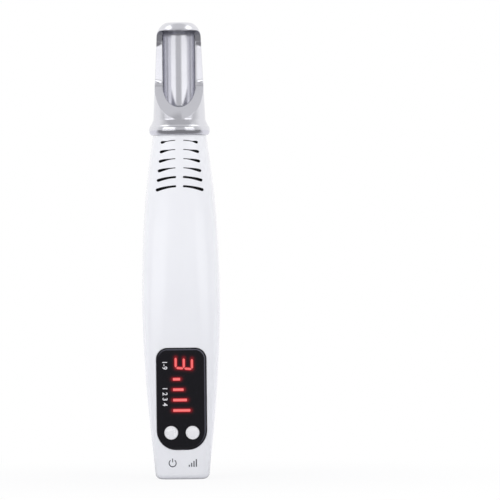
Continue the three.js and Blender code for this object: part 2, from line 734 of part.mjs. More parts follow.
function fanShelves() {
  const offset = SHELF_GAP + SHELF_THICKNESS / 2;
  return [fanBottom - offset, fanTop + offset].map((height) => {
    const [low, high] = [height - SHELF_THICKNESS, height + SHELF_THICKNESS];
    const way = (x) => rod(LEAD_WAY_RADIUS, low, high, SMALL_SIDES).translate(x, 0, 0);
    return cut(crossPlate(height, SHELF_THICKNESS, ductRadius), way(-leadWayRight), way(leadWayRight));
  });
}

const sinkRib = () => crossPlate(sinkBottom + SINK_RIB_UP, SINK_RIB_THICKNESS, sinkRadius + 2 * SEAT_GAP);

// The cross wall that keeps the inlet from being pushed up into the pen.
function jackStop() {
  const low = jackTop + SEAT_GAP;
  const high = low + JACK_STOP_THICKNESS;
  const half = JACK_STOP_WIDTH / 2;
  const wall = block(at(-half, -BODY_DEPTH, low), at(half, BODY_DEPTH, high));
  return cut(wall, rod(JACK_STOP_OPENING, low - OVERRUN, high + OVERRUN));
}

// The room that the inlet's body takes up.
function jackBay() {
  const [halfWidth, halfDepth] = [JACK_WIDTH / 2 + SEAT_GAP, JACK_DEPTH / 2 + SEAT_GAP];
  return block(at(-halfWidth, -halfDepth, jackBottom), at(halfWidth, halfDepth, jackTop));
}

const onScrews = (side, radius, from, to) =>
  screwPlaces.map(([x, height]) => facing(side, rod(radius, from, to, SMALL_SIDES), x, height));

function sharedWalls(side) {
  return [...fanShelves(), sinkRib(), jackStop(), ...onScrews(side, BOSS_RADIUS, 0, BODY_DEPTH / 2)];
}

// One half of the housing: its skin with the neck, and the walls, bosses and posts within.
function shell(side, ownPosts, ownCuts) {
  const skin = common(cut(bodyForm(0), cavity), halfSpace(side));
  const inner = common(join(...sharedWalls(side), ...ownPosts), midWall, halfSpace(side));
  const neckFoot = BODY_LENGTH - SHOULDER_WALL;
  const neck = common(revolve(neckProfile(0, neckFoot, neckTop), INNER_SIDES), halfSpace(side));
  const neckBore = rod(NECK_BORE_RADIUS, neckFoot - SHOULDER_WALL, neckTop + OVERRUN, INNER_SIDES);
  const jackHole = rod(JACK_COLLAR_RADIUS + JACK_COLLAR_CLEARANCE, -OVERRUN, jackBottom);
  return cut(join(skin, inner, neck), neckBore, jackHole, jackBay(), ...vents(side), ...ownCuts);
}

function panelShape(grown) {
  return roundedRectangle(
    panelWidth + 2 * grown,
    PANEL_HEIGHT + 2 * grown,
    PANEL_TOP_RADIUS + grown,
    PANEL_BOTTOM_RADIUS + grown,
  );
}

function moduleShape(grown) {
  const [width, height] = [MODULE_WIDTH + 2 * grown, MODULE_HEIGHT + 2 * grown];
  return roundedRectangle(width, height, MODULE_CORNER, MODULE_CORNER, MODULE_RIGHT, MODULE_UP);
}

function frontHousing() {
  const underside = boardTop + SEAT_GAP;
  const onPosts = (radius, from, to, sides) =>
    displayPosts.map(([x, y]) => onDisplay(rod(radius, from, to, sides).translate(x, y, 0)));
  const posts = onPosts(DISPLAY_POST_RADIUS, underside, 0, SMALL_SIDES);
  const pilots = onPosts(pilotRadius, underside - OVERRUN, boardBack + DISPLAY_SCREW_LENGTH, SMALL_SIDES);
  const recess = cut(
    onDisplay(prism(panelShape(PANEL_CLEARANCE), -BUTTON_RADIUS - WALL, OVERRUN)),
    bodyForm(PANEL_SUNK),
  );
  const window = onDisplay(prism(moduleShape(PANEL_CLEARANCE), moduleTop - WALL, OVERRUN));
  const flangeHole = rod(BUTTON_RADIUS + BUTTON_FLANGE + BUTTON_CLEARANCE, -2 * WALL, OVERRUN);
  const wells = buttonPlaces.map(([x, y]) => onDisplay(flangeHole.clone().translate(x, y, 0)));
  const pilotDepth = HOUSING_SCREW_LENGTH - HOUSING_SCREW_SEAT + SEAT_GAP;
  const bossPilots = onScrews(FRONT, pilotRadius, -WALL, pilotDepth);
  const cuts = [...pilots, recess, window, ...wells, ...bossPilots];
  return named("front_housing", shell(FRONT, posts, cuts), whiteGloss);
}

function triggerShape(grown) {
  const [width, length] = [TRIGGER_WIDTH + 2 * grown, TRIGGER_LENGTH + 2 * grown];
  return roundedRectangle(width, length, width / 2);
}

function rearHousing() {
  const onPosts = (radius, from, to, sides) =>
    boardScrewHeights.map((height) => facing(BACK, rod(radius, from, to, sides), 0, height));
  const posts = onPosts(BOARD_POST_RADIUS, mainBoardBack + SEAT_GAP, BODY_DEPTH / 2);
  const pilots = onPosts(pilotRadius, 0, MAIN_BOARD_FRONT + BOARD_SCREW_LENGTH, SMALL_SIDES);
  const wellPrism = prism(triggerShape(TRIGGER_CLEARANCE), triggerFlangeBottom, BODY_DEPTH);
  const well = facing(BACK, wellPrism, 0, triggerCentre);
  const clearHoles = onScrews(BACK, clearRadius, -WALL, BODY_DEPTH);
  const headRadius = SCREW_HEAD_RADIUS + SCREW_CLEARANCE;
  const counterbores = onScrews(BACK, headRadius, HOUSING_SCREW_SEAT - SEAT_GAP, BODY_DEPTH);
  const cuts = [...pilots, well, ...clearHoles, ...counterbores];
  return named("rear_housing", shell(BACK, posts, cuts), whiteGloss);
}

// Focus head

function headOutside() {
  const collar = headFoot + HEAD_COLLAR_HEIGHT;
  const bulge = HEAD_COLLAR_RADIUS - HEAD_FOOT_RADIUS;
  const skirt = roundOver(HEAD_COLLAR_RADIUS, collar, bulge, HEAD_COLLAR_HEIGHT)
    .map(([radius, height]) => [radius, collar + headFoot - height])
    .reverse();
  const sweep = new THREE.CubicBezierCurve(
    new THREE.Vector2(HEAD_COLLAR_RADIUS, collar),
    new THREE.Vector2(HEAD_COLLAR_RADIUS, collar + HEAD_COLLAR_HEIGHT / 2),
    new THREE.Vector2(HEAD_ROOT_RADIUS, collar + HEAD_COLLAR_HEIGHT),
    new THREE.Vector2(HEAD_ROOT_RADIUS, headFoot + HEAD_FLARE_HEIGHT),
  );
  const flare = sweep.getPoints(FILLET_STEPS + 1).slice(1).map((point) => [point.x, point.y]);
  const round = roundOver(HEAD_TIP_RADIUS, tip, HEAD_TIP_ROUND_IN, HEAD_TIP_ROUND_DOWN, FILLET_STEPS + 1);
  return revolve([[0, headFoot], ...skirt, ...flare, ...round, [0, tip]], HEAD_SIDES);
}

function headBore() {
  const rimUnder = tip - RIM_THICKNESS;
  const lip = roundOver(HEAD_BORE_RADIUS, rimUnder, HEAD_BORE_RADIUS - RIM_OPENING_RADIUS, RIM_THICKNESS / 2);
  return revolve(
    [
      [0, neckTop],
      [HEAD_BORE_RADIUS, neckTop],
      ...lip,
      [RIM_OPENING_RADIUS, tip - RIM_EDGE],
      [RIM_OPENING_RADIUS + RIM_EDGE, tip],
      [RIM_OPENING_RADIUS + RIM_EDGE, tip + OVERRUN],
      [0, tip + OVERRUN],
    ],
    INNER_SIDES,
  );
}

// The window's side view: square in under the rim, down the setback face, and out along the slope.
function headWindow() {
  const top = tip - RIM_THICKNESS;
  const crease = tip - WINDOW_CREASE_BELOW_TIP;
  const reach = HEAD_COLLAR_RADIUS + OVERRUN;
  const slope = (WINDOW_FOOT_BELOW_TIP - WINDOW_CREASE_BELOW_TIP) / (HEAD_ROOT_RADIUS - WINDOW_SETBACK);
  const side = new THREE.Shape();
  side.moveTo(reach, top);
  side.lineTo(reach, crease - slope * (reach - WINDOW_SETBACK));
  side.lineTo(WINDOW_SETBACK, crease);
  side.lineTo(WINDOW_SETBACK, top - WINDOW_FILLET);
  side.absarc(WINDOW_SETBACK + WINDOW_FILLET, top - WINDOW_FILLET, WINDOW_FILLET, 2 * QUARTER, QUARTER, true);
  // The side view is drawn with its depth along X, so it is stood up and turned to cross the head.
  return prism(side, -reach, reach, FILLET_STEPS).rotateX(QUARTER).rotateZ(-QUARTER);
}

function focusHead() {
  const socket = revolve(neckProfile(HEAD_FIT, headFoot - OVERRUN, socketTop), INNER_SIDES);
  return named("focus_head", cut(headOutside(), headBore(), socket, headWindow()), satinChrome);
}

// Display

// A bar with pointed ends along X, grown all round by a clearance.
function segmentPoints(length, grown) {
  const half = DIGIT_STROKE / 2 + grown;
  const end = length / 2 + grown * Math.SQRT2;
  return [
    [-end, 0],
    [half - end, -half],
    [end - half, -half],
    [end, 0],
    [end - half, half],
    [half - end, half],
  ];
}

// The digit's seven segments. It reads down the pen, so its own up is the panel's right.
function digitShapes(grown) {
  const wide = DIGIT_WIDE - DIGIT_STROKE;
  const step = (DIGIT_TALL - DIGIT_STROKE) / 2;
  const slant = Math.tan(radians(DIGIT_SLANT_DEGREES));
  const placed = (points, right, up, upright) =>
    polygon(
      points.map(([along, across]) => {
        const [u, v] = upright ? [right - across, up + along] : [right + along, up + across];
        return [DIGIT_RIGHT + v, DIGIT_UP - u - v * slant];
      }),
    );
  const level = segmentPoints(wide - 2 * DIGIT_GAP, grown);
  const upright = segmentPoints(step - 2 * DIGIT_GAP, grown);
  return [
    ...[-step, 0, step].map((up) => placed(level, 0, up, false)),
    ...[-wide / 2, wide / 2].flatMap((right) =>
      [-step / 2, step / 2].map((up) => placed(upright, right, up, true)),
    ),
  ];
}

function barShapes(grown) {
  return Array.from({ length: BAR_COUNT }, (_, i) => {
    const up = BAR_TOP_UP - BAR_PITCH * i;
    const half = BAR_THICKNESS / 2 + grown;
    const [left, right] = [-BAR_LEFT - grown, BAR_LENGTH_FIRST + BAR_LENGTH_STEP * i - BAR_LEFT + grown];
    return polygon([[left, up - half], [right, up - half], [right, up + half], [left, up + half]]);
  });
}

function readoutWindows() {
  const shapes = [...digitShapes(SEGMENT_CLEARANCE), ...barShapes(SEGMENT_CLEARANCE)];
  return shapes.map((shape) => onDisplay(prism(shape, boardTop, OVERRUN, SMALL_CORNER_STEPS)));
}

function displayPanel() {
  const hole = rod(BUTTON_RADIUS + BUTTON_CLEARANCE, -OVERRUN, OVERRUN);
  const holes = buttonPlaces.map(([x, y]) => onDisplay(hole.clone().translate(x, y, 0)));
  const plate = common(
    onDisplay(prism(panelShape(0), -BUTTON_RADIUS - WALL, OVERRUN)),
    cut(bodyForm(-PANEL_PROUD), bodyForm(PANEL_SUNK - SEAT_GAP)),
  );
  return named("display_panel", cut(plate, ...holes, ...readoutWindows()), blackGloss);
}

// The module's two cells, one for the digit's light guide and one for the bars'.
function cellShape(forDigit, grown) {
  const floor = MODULE_UP - MODULE_HEIGHT / 2 + MODULE_WALL;
  const ceiling = MODULE_UP + MODULE_HEIGHT / 2 - MODULE_WALL;
  const low = forDigit ? MODULE_DIVIDER_UP + MODULE_WALL / 2 : floor;
  const high = forDigit ? ceiling : MODULE_DIVIDER_UP - MODULE_WALL / 2;
  const width = MODULE_WIDTH - 2 * MODULE_WALL + 2 * grown;
  const corner = MODULE_CORNER / 2;
  return roundedRectangle(width, high - low + 2 * grown, corner, corner, MODULE_RIGHT, (low + high) / 2);
}

function displayModule() {
  const bottom = moduleTop - MODULE_DEPTH;
  const cells = [true, false].map((forDigit) =>
    prism(cellShape(forDigit, 0), bottom - OVERRUN, moduleTop + OVERRUN, SMALL_CORNER_STEPS),
  );
  const frame = cut(prism(moduleShape(0), bottom, moduleTop, SMALL_CORNER_STEPS), ...cells);
  return named("display_module", onDisplay(frame), blackPlastic);
}

// A moulded light guide: a plate in one of the module's cells, with lit shapes that end flush in the panel.
function lightGuide(name, forDigit, shapes) {
  const top = moduleTop - SEAT_GAP;
  const plate = prism(cellShape(forDigit, -SEAT_GAP), top - GUIDE_THICKNESS, top, SMALL_CORNER_STEPS);
  const raised = shapes.map((shape) => prism(shape, top - GUIDE_THICKNESS / 2, OVERRUN, SMALL_CORNER_STEPS));
  const guide = common(onDisplay(join(plate, ...raised)), bodyForm(SEGMENT_SUNK - PANEL_PROUD));
  return named(name, guide, redLight);
}

function displayBoard() {
  const height = DISPLAY_BOARD_UP + DISPLAY_BOARD_DOWN;
  const centre = (DISPLAY_BOARD_UP - DISPLAY_BOARD_DOWN) / 2;
  const width = panelWidth - 2 * DISPLAY_BOARD_MARGIN;
  const outline = roundedRectangle(width, height, BOARD_CORNER, BOARD_CORNER, 0, centre);
  const holes = displayPosts.map(([x, y]) =>
    rod(clearRadius, boardBack - OVERRUN, boardTop + OVERRUN, SMALL_SIDES).translate(x, y, 0),
  );
  const board = cut(prism(outline, boardBack, boardTop, SMALL_CORNER_STEPS), ...holes);
  return named("display_board", onDisplay(board), boardGreen);
}

// A tactile switch's case, with the bore that its plunger slides in.
function switchCase(side, height, plungerRadius) {
  const floor = height - PLUNGER_SUNK - PLUNGER_TRAVEL - SEAT_GAP;
  const outside = prism(roundedRectangle(side, side, SWITCH_CORNER), 0, height, SMALL_CORNER_STEPS);
  const bore = rod(plungerRadius + PLUNGER_CLEARANCE, floor, height + OVERRUN, SMALL_SIDES);
  return geometryOf(cut(outside, bore));
}

function plunger(radius, from, to) {
  const edge = PLUNGER_CLEARANCE;
  const profile = [[0, from], [radius, from], [radius, to - edge], [radius - edge, to], [0, to]];
  return revolve(profile, SMALL_SIDES);
}

// A round cap with a raised rim about a low dome, a flange that the panel holds in, and a stem.
function buttonCap() {
  const top = buttonSurface + BUTTON_PROUD;
  const flangeBottom = flangeTop - BUTTON_FLANGE_THICKNESS;
  const inner = BUTTON_RADIUS - BUTTON_RIM;
  const domeRadius = inner - BUTTON_EDGE;
  return revolve([
    [0, stemBottom],
    [BUTTON_STEM_RADIUS, stemBottom],
    [BUTTON_STEM_RADIUS, flangeBottom],
    [BUTTON_RADIUS + BUTTON_FLANGE, flangeBottom],
    [BUTTON_RADIUS + BUTTON_FLANGE, flangeTop],
    [BUTTON_RADIUS, flangeTop],
    [BUTTON_RADIUS, top - BUTTON_EDGE],
    [BUTTON_RADIUS - BUTTON_EDGE, top],
    [inner, top - BUTTON_GROOVE],
    ...roundOver(domeRadius, top, domeRadius, BUTTON_GROOVE, FILLET_STEPS - 1),
  ]);
}

function frontButtons() {
  return ["left", "right"].flatMap((hand, i) => {
    const [x, y] = buttonPlaces[i];
    const placed = (geometry, z = 0) => onDisplay(geometry.translate(x, y, z));
    const pin = plunger(PLUNGER_RADIUS, switchTop - PLUNGER_SUNK, stemBottom - SEAT_GAP);
    const body = switchCase(SWITCH_SIDE, SWITCH_HEIGHT, PLUNGER_RADIUS);
    return [
      named(`${hand}_button`, placed(buttonCap()), silverKey),
      named(`${hand}_switch_plunger`, placed(pin), blackPlastic),
      named(`${hand}_switch_case`, placed(body, boardTop + SEAT_GAP), steel),
    ];
  });
}

// Trigger

function triggerCap() {
  const settings = {
    depth: triggerTop - triggerFlangeBottom - 2 * TRIGGER_EDGE,
    bevelSize: TRIGGER_EDGE,
    bevelThickness: TRIGGER_EDGE,
    bevelSegments: 2,
    curveSegments: CORNER_STEPS,
  };
  const cap = new THREE.ExtrudeGeometry(triggerShape(-TRIGGER_EDGE), settings);
  cap.translate(0, 0, triggerFlangeBottom + TRIGGER_EDGE);
  const flange = prism(triggerShape(TRIGGER_FLANGE), triggerFlangeBottom, triggerFlangeTop);
  const dish = rod(TRIGGER_DISH_RADIUS, -TRIGGER_WIDTH, TRIGGER_WIDTH, 2 * HEAD_SIDES)
    .rotateY(QUARTER)
    .translate(0, 0, triggerTop - TRIGGER_DISH_DEPTH + TRIGGER_DISH_RADIUS);
  return cut(join(cap, flange), dish);
}

function triggerPieces() {
  const standing = (geometry) => facing(BACK, geometry, 0, triggerCentre);
  const body = switchCase(TRIGGER_SWITCH_SIDE, TRIGGER_SWITCH_HEIGHT, TRIGGER_PLUNGER_RADIUS);
  const pinTop = triggerFlangeBottom - SEAT_GAP;
  const pin = plunger(TRIGGER_PLUNGER_RADIUS, triggerSwitchTop - PLUNGER_SUNK, pinTop);
  return [
    named("trigger_button", standing(triggerCap()), silverKey),
    named("trigger_switch_plunger", standing(pin), blackPlastic),
    named("trigger_switch_case", standing(body.translate(0, 0, mainBoardBack + SEAT_GAP)), blackPlastic),
  ];
}

// Main board and its parts

function mainBoard() {
  const height = mainBoardTop - MAIN_BOARD_BOTTOM;
  const centre = (mainBoardTop + MAIN_BOARD_BOTTOM) / 2;
  const outline = roundedRectangle(2 * mainBoardHalf, height, BOARD_CORNER, BOARD_CORNER, 0, centre);
  const hole = rod(clearRadius, 0, BODY_DEPTH, SMALL_SIDES);
  const holes = boardScrewHeights.map((up) => hole.clone().translate(0, up, 0));
  const board = cut(prism(outline, MAIN_BOARD_FRONT, mainBoardBack, SMALL_CORNER_STEPS), ...holes);
  return named("main_board", facing(BACK, board), boardGreen);
}

// Stands a part made along Z on the front face of the main board.
const onMainBoard = (shape, x, height) =>
  facing(FRONT, geometryOf(shape).translate(0, 0, SEAT_GAP - MAIN_BOARD_FRONT), x, height);

function capacitor() {
  const can = revolve([
    [0, 0],
    [CAPACITOR_RADIUS, 0],
    [CAPACITOR_RADIUS, 2 * CAPACITOR_EDGE],
    [CAPACITOR_RADIUS - CAPACITOR_GROOVE, 3 * CAPACITOR_EDGE],
    [CAPACITOR_RADIUS, 4 * CAPACITOR_EDGE],
    [CAPACITOR_RADIUS, CAPACITOR_LENGTH - CAPACITOR_EDGE],
    [CAPACITOR_RADIUS - CAPACITOR_EDGE, CAPACITOR_LENGTH],
    [0, CAPACITOR_LENGTH],
  ]);
  const axis = MAIN_BOARD_FRONT - SEAT_GAP - CAPACITOR_RADIUS;
  const height = triggerCentre - CAPACITOR_BELOW_TRIGGER;
  can.rotateY(QUARTER).translate(-CAPACITOR_LENGTH / 2, axis, height);
  return named("capacitor", can, blackSleeve);
}

function inductorPieces() {
  const square = roundedRectangle(INDUCTOR_SIDE, INDUCTOR_SIDE, BOARD_CORNER);
  const flange = (from) => prism(square, from, from + INDUCTOR_FLANGE, SMALL_CORNER_STEPS);
  const upper = INDUCTOR_HEIGHT - INDUCTOR_FLANGE;
  const core = join(flange(0), flange(upper), rod(INDUCTOR_CORE_RADIUS, 0, INDUCTOR_HEIGHT));
  const inner = INDUCTOR_CORE_RADIUS + SEAT_GAP;
  const [low, high] = [INDUCTOR_FLANGE + SEAT_GAP, upper - SEAT_GAP];
  const winding = revolve([
    [inner, low],
    [INDUCTOR_WINDING_RADIUS, low],
    [INDUCTOR_WINDING_RADIUS, high],
    [inner, high],
    [inner, low],
  ]);
  const height = triggerCentre - INDUCTOR_BELOW_TRIGGER;
  return [
    named("inductor_core", onMainBoard(core, 0, height), ferrite),
    named("inductor_winding", onMainBoard(winding, 0, height), copper),
  ];
}

function driverChip() {
  const [halfWidth, halfLength] = [CHIP_WIDTH / 2, CHIP_LENGTH / 2];
  const body = block(at(-halfWidth, -halfLength, 0), at(halfWidth, halfLength, CHIP_HEIGHT));
  const notch = rod(CHIP_NOTCH, CHIP_HEIGHT - CHIP_NOTCH, CHIP_HEIGHT + OVERRUN, SMALL_SIDES);
  const marked = cut(body, notch.translate(0, halfLength, 0));
  return named("driver_chip", onMainBoard(marked, 0, upperPost - CHIP_BELOW_POST), blackPlastic);
}

const socketCentre = mainBoardTop - SOCKET_BELOW_BOARD_TOP;
const socketTopHeight = socketCentre + SOCKET_LENGTH / 2;

function laserSocket() {
  const half = SOCKET_LENGTH / 2;
  const body = block(at(-SOCKET_WIDTH / 2, -half, 0), at(SOCKET_WIDTH / 2, half, SOCKET_HEIGHT));
  const low = (SOCKET_HEIGHT - SOCKET_SLOT_HEIGHT) / 2;
  const slot = block(
    at(-SOCKET_SLOT_WIDTH / 2, half - SOCKET_SLOT_DEPTH, low),
    at(SOCKET_SLOT_WIDTH / 2, half + OVERRUN, low + SOCKET_SLOT_HEIGHT),
  );
  return named("laser_socket", onMainBoard(cut(body, slot), socketRight, socketCentre), ribbonWhite);
}

// Power inlet

const jackBoreTop = JACK_RECESS + JACK_BORE_LENGTH;
const springOuter = JACK_BORE_RADIUS + JACK_SPRING_SLOT - SEAT_GAP;

function jackBody() {
  const [halfWidth, halfDepth] = [JACK_WIDTH / 2, JACK_DEPTH / 2];
  const box = block(at(-halfWidth, -halfDepth, jackBottom), at(halfWidth, halfDepth, jackTop));
  const collar = rod(JACK_COLLAR_RADIUS, JACK_RECESS, jackTop);
  const slotHalf = JACK_SPRING_WIDTH / 2 + SEAT_GAP;
  const slot = block(
    at(springOuter - JACK_SPRING_THICKNESS - SEAT_GAP, -slotHalf, jackBottom + SEAT_GAP),
    at(springOuter + SEAT_GAP, slotHalf, jackTop + OVERRUN),
  );
  const slotMouth = block(at(0, -slotHalf, jackBottom + SEAT_GAP), at(springOuter, slotHalf, jackBoreTop));
  const bore = rod(JACK_BORE_RADIUS, -OVERRUN, jackBoreTop);
  const pinHole = rod(JACK_PIN_RADIUS + SEAT_GAP, 0, jackTop + OVERRUN, SMALL_SIDES);
  return cut(join(box, collar), bore, slot, slotMouth, pinHole);
}

function jackPin() {
  const foot = JACK_RECESS + JACK_PIN_RECESS;
  const tail = JACK_PIN_RADIUS / 2;
  return revolve(
    [
      [0, foot],
      [tail, foot],
      [JACK_PIN_RADIUS, foot + tail],
      [JACK_PIN_RADIUS, jackTop],
      [tail, jackTop],
      [tail, tailTop],
      [0, tailTop],
    ],
    SMALL_SIDES,
  );
}

// The leaf that presses on the plug's barrel: its side view, bowed into the bore, given a width.
function jackSpring() {
  const inner = springOuter - JACK_SPRING_THICKNESS;
  const foot = jackBottom + 2 * SEAT_GAP;
  const middle = (foot + jackBoreTop) / 2;
  const bowed = JACK_BORE_RADIUS - JACK_SPRING_BOW;
  const outline = polygon([
    [springOuter, foot],
    [bowed + JACK_SPRING_THICKNESS, middle],
    [springOuter, jackBoreTop],
    [springOuter, tailTop],
    [inner, tailTop],
    [inner, jackBoreTop],
    [bowed, middle],
    [inner, foot],
  ]);
  return prism(outline, -JACK_SPRING_WIDTH / 2, JACK_SPRING_WIDTH / 2).rotateX(QUARTER);
}

function jackPieces() {
  return [
    named("dc_jack_body", jackBody(), blackPlastic),
    named("dc_jack_pin", jackPin(), brass),
    named("dc_jack_spring", jackSpring(), brass),
  ];
}

// Heat sink and laser module

function heatSink() {
  const halfFin = SINK_FIN_THICKNESS / 2;
  const outline = Array.from({ length: SINK_FIN_COUNT }, (_, i) => {
    const angle = (4 * QUARTER * i) / SINK_FIN_COUNT;
    const [cos, sin] = [Math.cos(angle), Math.sin(angle)];
    const turned = (along, across) => [along * cos - across * sin, along * sin + across * cos];
    return [
      turned(coreRadius, -halfFin),
      turned(sinkRadius, -halfFin),
      turned(sinkRadius, halfFin),
      turned(coreRadius, halfFin),
    ];
  }).flat();
  const shape = polygon(outline);
  shape.holes.push(new THREE.Path().absarc(0, 0, barrelRadius + BARREL_FIT, 0, 4 * QUARTER));
  return named("heat_sink", prism(shape, sinkBottom, sinkTop, INNER_SIDES / 2), aluminium);
}

const lensSeat = barrelTop - LENS_SEAT_DEPTH;
const diodeSeat = barrelBottom + DIODE_SEAT_DEPTH;
const diodeTop = diodeSeat - SEAT_GAP;
const diodeBottom = diodeTop - DIODE_FLANGE_THICKNESS;
const diodeLegEnd = diodeBottom - DIODE_LEG_LENGTH;
const diodeFlangeRadius = barrelRadius * DIODE_FLANGE_SHARE;
const diodeCanRadius = barrelRadius * DIODE_CAN_SHARE;

function laserBarrel() {
  const lensBore = lensRadius + BARREL_FIT;
  const beamBore = barrelRadius * BEAM_BORE_SHARE;
  const diodeBore = diodeFlangeRadius + BARREL_FIT;
  return revolve(
    [
      [diodeBore, barrelBottom],
      [barrelRadius, barrelBottom],
      [barrelRadius, barrelTop],
      [lensBore, barrelTop],
      [lensBore, lensSeat],
      [beamBore, lensSeat],
      [beamBore, diodeSeat],
      [diodeBore, diodeSeat],
      [diodeBore, barrelBottom],
    ],
    INNER_SIDES,
  );
}

function diodeLegPlace(i) {
  const angle = (4 * QUARTER * i) / DIODE_LEG_COUNT;
  return [DIODE_LEG_CIRCLE * Math.cos(angle), DIODE_LEG_CIRCLE * Math.sin(angle)];
}

function laserDiode() {
  const can = revolve([
    [0, diodeBottom],
    [diodeFlangeRadius, diodeBottom],
    [diodeFlangeRadius, diodeTop],
    [diodeCanRadius, diodeTop],
    [diodeCanRadius, diodeTop + DIODE_CAN_HEIGHT],
    [0, diodeTop + DIODE_CAN_HEIGHT],
  ]);
  const legs = Array.from({ length: DIODE_LEG_COUNT }, (_, i) =>
    rod(DIODE_LEG_RADIUS, diodeLegEnd, diodeTop, LEAD_SIDES).translate(...diodeLegPlace(i), 0),
  );
  return join(can, ...legs);
}

function collimatingLens() {
  const bottom = lensSeat + SEAT_GAP;
  const top = bottom + LENS_EDGE + LENS_CROWN;
  return revolve([[0, bottom], [lensRadius, bottom], ...roundOver(lensRadius, top, lensRadius, LENS_CROWN)]);
}

// The threaded ring that holds the lens in, with the nozzle that shows in the head's window.
function lensNozzle() {
  const clamp = lensRadius * LENS_CLAMP_SHARE;
  const bottom = lensSeat + LENS_EDGE + LENS_CROWN / 2 + 2 * SEAT_GAP;
  const step = lensSeat + LENS_EDGE + LENS_CROWN + 2 * SEAT_GAP;
  const top = barrelTop + NOZZLE_HEIGHT;
  const bore = barrelRadius * NOZZLE_BORE_SHARE;
  return revolve([
    [clamp, bottom],
    [lensRadius, bottom],
    [lensRadius, barrelTop],
    [nozzleRadius, barrelTop],
    [nozzleRadius, top - NOZZLE_EDGE],
    [nozzleRadius - NOZZLE_EDGE, top],
    [bore, top],
    [bore, step],
    [clamp, step],
    [clamp, bottom],
  ]);
}

function emitterBezel() {
  const bottom = barrelTop + SEAT_GAP;
  const top = bottom + BEZEL_THICKNESS;
  const outer = HEAD_BORE_RADIUS - HEAD_FIT;
  const inner = nozzleRadius + HEAD_FIT;
  return revolve(
    [
      [inner, bottom],
      [outer, bottom],
      [outer, top - BEZEL_EDGE],
      [outer - BEZEL_EDGE, top],
      [inner, top],
      [inner, bottom],
    ],
    INNER_SIDES,
  );
}

function laserPieces() {
  return [
    named("laser_barrel", laserBarrel(), brass),
    named("laser_diode", laserDiode(), brass),
    named("collimating_lens", collimatingLens(), glass),
    named("lens_nozzle", lensNozzle(), steel),
    named("emitter_bezel", emitterBezel(), satinChrome),
  ];
}

// Fan

const fanBase = fanBottom + FAN_BASE_THICKNESS;
const hubBottom = fanBase + FAN_RUNNING_GAP;
const hubTop = fanTop - FAN_RUNNING_GAP;
const hubInside = hubTop - FAN_HUB_WALL;

function fanFrame() {
  const square = roundedRectangle(2 * fanHalf, 2 * fanHalf, FAN_CORNER);
  const outside = prism(square, fanBottom, fanTop, SMALL_CORNER_STEPS);
  const through = (radius, sides) => rod(radius, fanBottom - OVERRUN, fanTop + OVERRUN, sides);
  const places = [FAN_HOLE_IN - fanHalf, fanHalf - FAN_HOLE_IN];
  const corners = places.flatMap((x) =>
    places.map((y) => through(FAN_HOLE_RADIUS, 2 * FILLET_STEPS).translate(x, y, 0)),
  );
  const struts = Array.from({ length: FAN_STRUT_COUNT }, (_, i) =>
    block(
      at(0, -FAN_STRUT_WIDTH / 2, fanBottom),
      at((ductRadius + fanHalf) / 2, FAN_STRUT_WIDTH / 2, fanBase),
    ).rotateZ((4 * QUARTER * i) / FAN_STRUT_COUNT),
  );
  const ring = cut(outside, through(ductRadius, INNER_SIDES), ...corners);
  const base = rod(FAN_BASE_RADIUS, fanBottom, fanBase);
  const bearing = rod(FAN_BEARING_RADIUS, fanBottom, hubInside - FAN_RUNNING_GAP);
  const shaftBore = rod(FAN_SHAFT_RADIUS + FAN_SHAFT_CLEARANCE, fanBase, fanTop, SMALL_SIDES);
  return named("fan_frame", cut(join(ring, base, bearing, ...struts), shaftBore), blackPlastic);
}

// One blade: cambered strips at the root, middle and tip, each turned to its own pitch.
function fanBlade() {
  const root = FAN_HUB_RADIUS - FAN_HUB_WALL / 2;
  const end = ductRadius - FAN_RUNNING_GAP;
  const middle = (hubBottom + hubTop) / 2;
  const half = FAN_BLADE_CHORD / 2;
  const thin = FAN_BLADE_THICKNESS / 2;
  const strip = [
    [-half, -thin],
    [0, FAN_BLADE_CAMBER - thin],
    [half, -thin],
    [half, thin],
    [0, FAN_BLADE_CAMBER + thin],
    [-half, thin],
  ];
  const rings = [0, 0.5, 1].map((share) => {
    const radius = THREE.MathUtils.lerp(root, end, share);
    const pitch = radians(THREE.MathUtils.lerp(FAN_BLADE_ROOT_DEGREES, FAN_BLADE_TIP_DEGREES, share));
    return strip.map(([along, up]) => {
      // The strip bends round its circle, so that the blade's tip keeps its running gap.
      const turn = (along * Math.cos(pitch) - up * Math.sin(pitch)) / radius;
      const height = middle + along * Math.sin(pitch) + up * Math.cos(pitch);
      return at(radius * Math.cos(turn), radius * Math.sin(turn), height);
    });
  });
  return loft(rings);
}

function fanRotor() {
  const blades = Array.from({ length: FAN_BLADE_COUNT }, (_, i) =>
    fanBlade().rotateZ((4 * QUARTER * i) / FAN_BLADE_COUNT),
  );
  const inner = FAN_HUB_RADIUS - FAN_HUB_WALL;
  const shaftHole = FAN_SHAFT_RADIUS + FAN_SHAFT_CLEARANCE;
  const hub = revolve([
    [inner, hubBottom],
    [FAN_HUB_RADIUS, hubBottom],
    [FAN_HUB_RADIUS, hubTop],
    [shaftHole, hubTop],
    [shaftHole, hubInside],
    [inner, hubInside],
    [inner, hubBottom],
  ]);
  return named("fan_rotor", join(hub, ...blades), blackPlastic);
}

function fanPieces() {
  const statorBore = FAN_BEARING_RADIUS + SEAT_GAP;
  const statorBottom = fanBase + SEAT_GAP;
  const stator = revolve([
    [statorBore, statorBottom],
    [FAN_STATOR_RADIUS, statorBottom],
    [FAN_STATOR_RADIUS, statorBottom + FAN_STATOR_HEIGHT],
    [statorBore, statorBottom + FAN_STATOR_HEIGHT],
    [statorBore, statorBottom],
  ]);
  return [
    fanFrame(),
    fanRotor(),
    named("fan_shaft", rod(FAN_SHAFT_RADIUS, fanBase + SEAT_GAP, hubTop, SMALL_SIDES), steel),
    named("fan_stator", stator, copper),
  ];
}

// Leads and ribbon

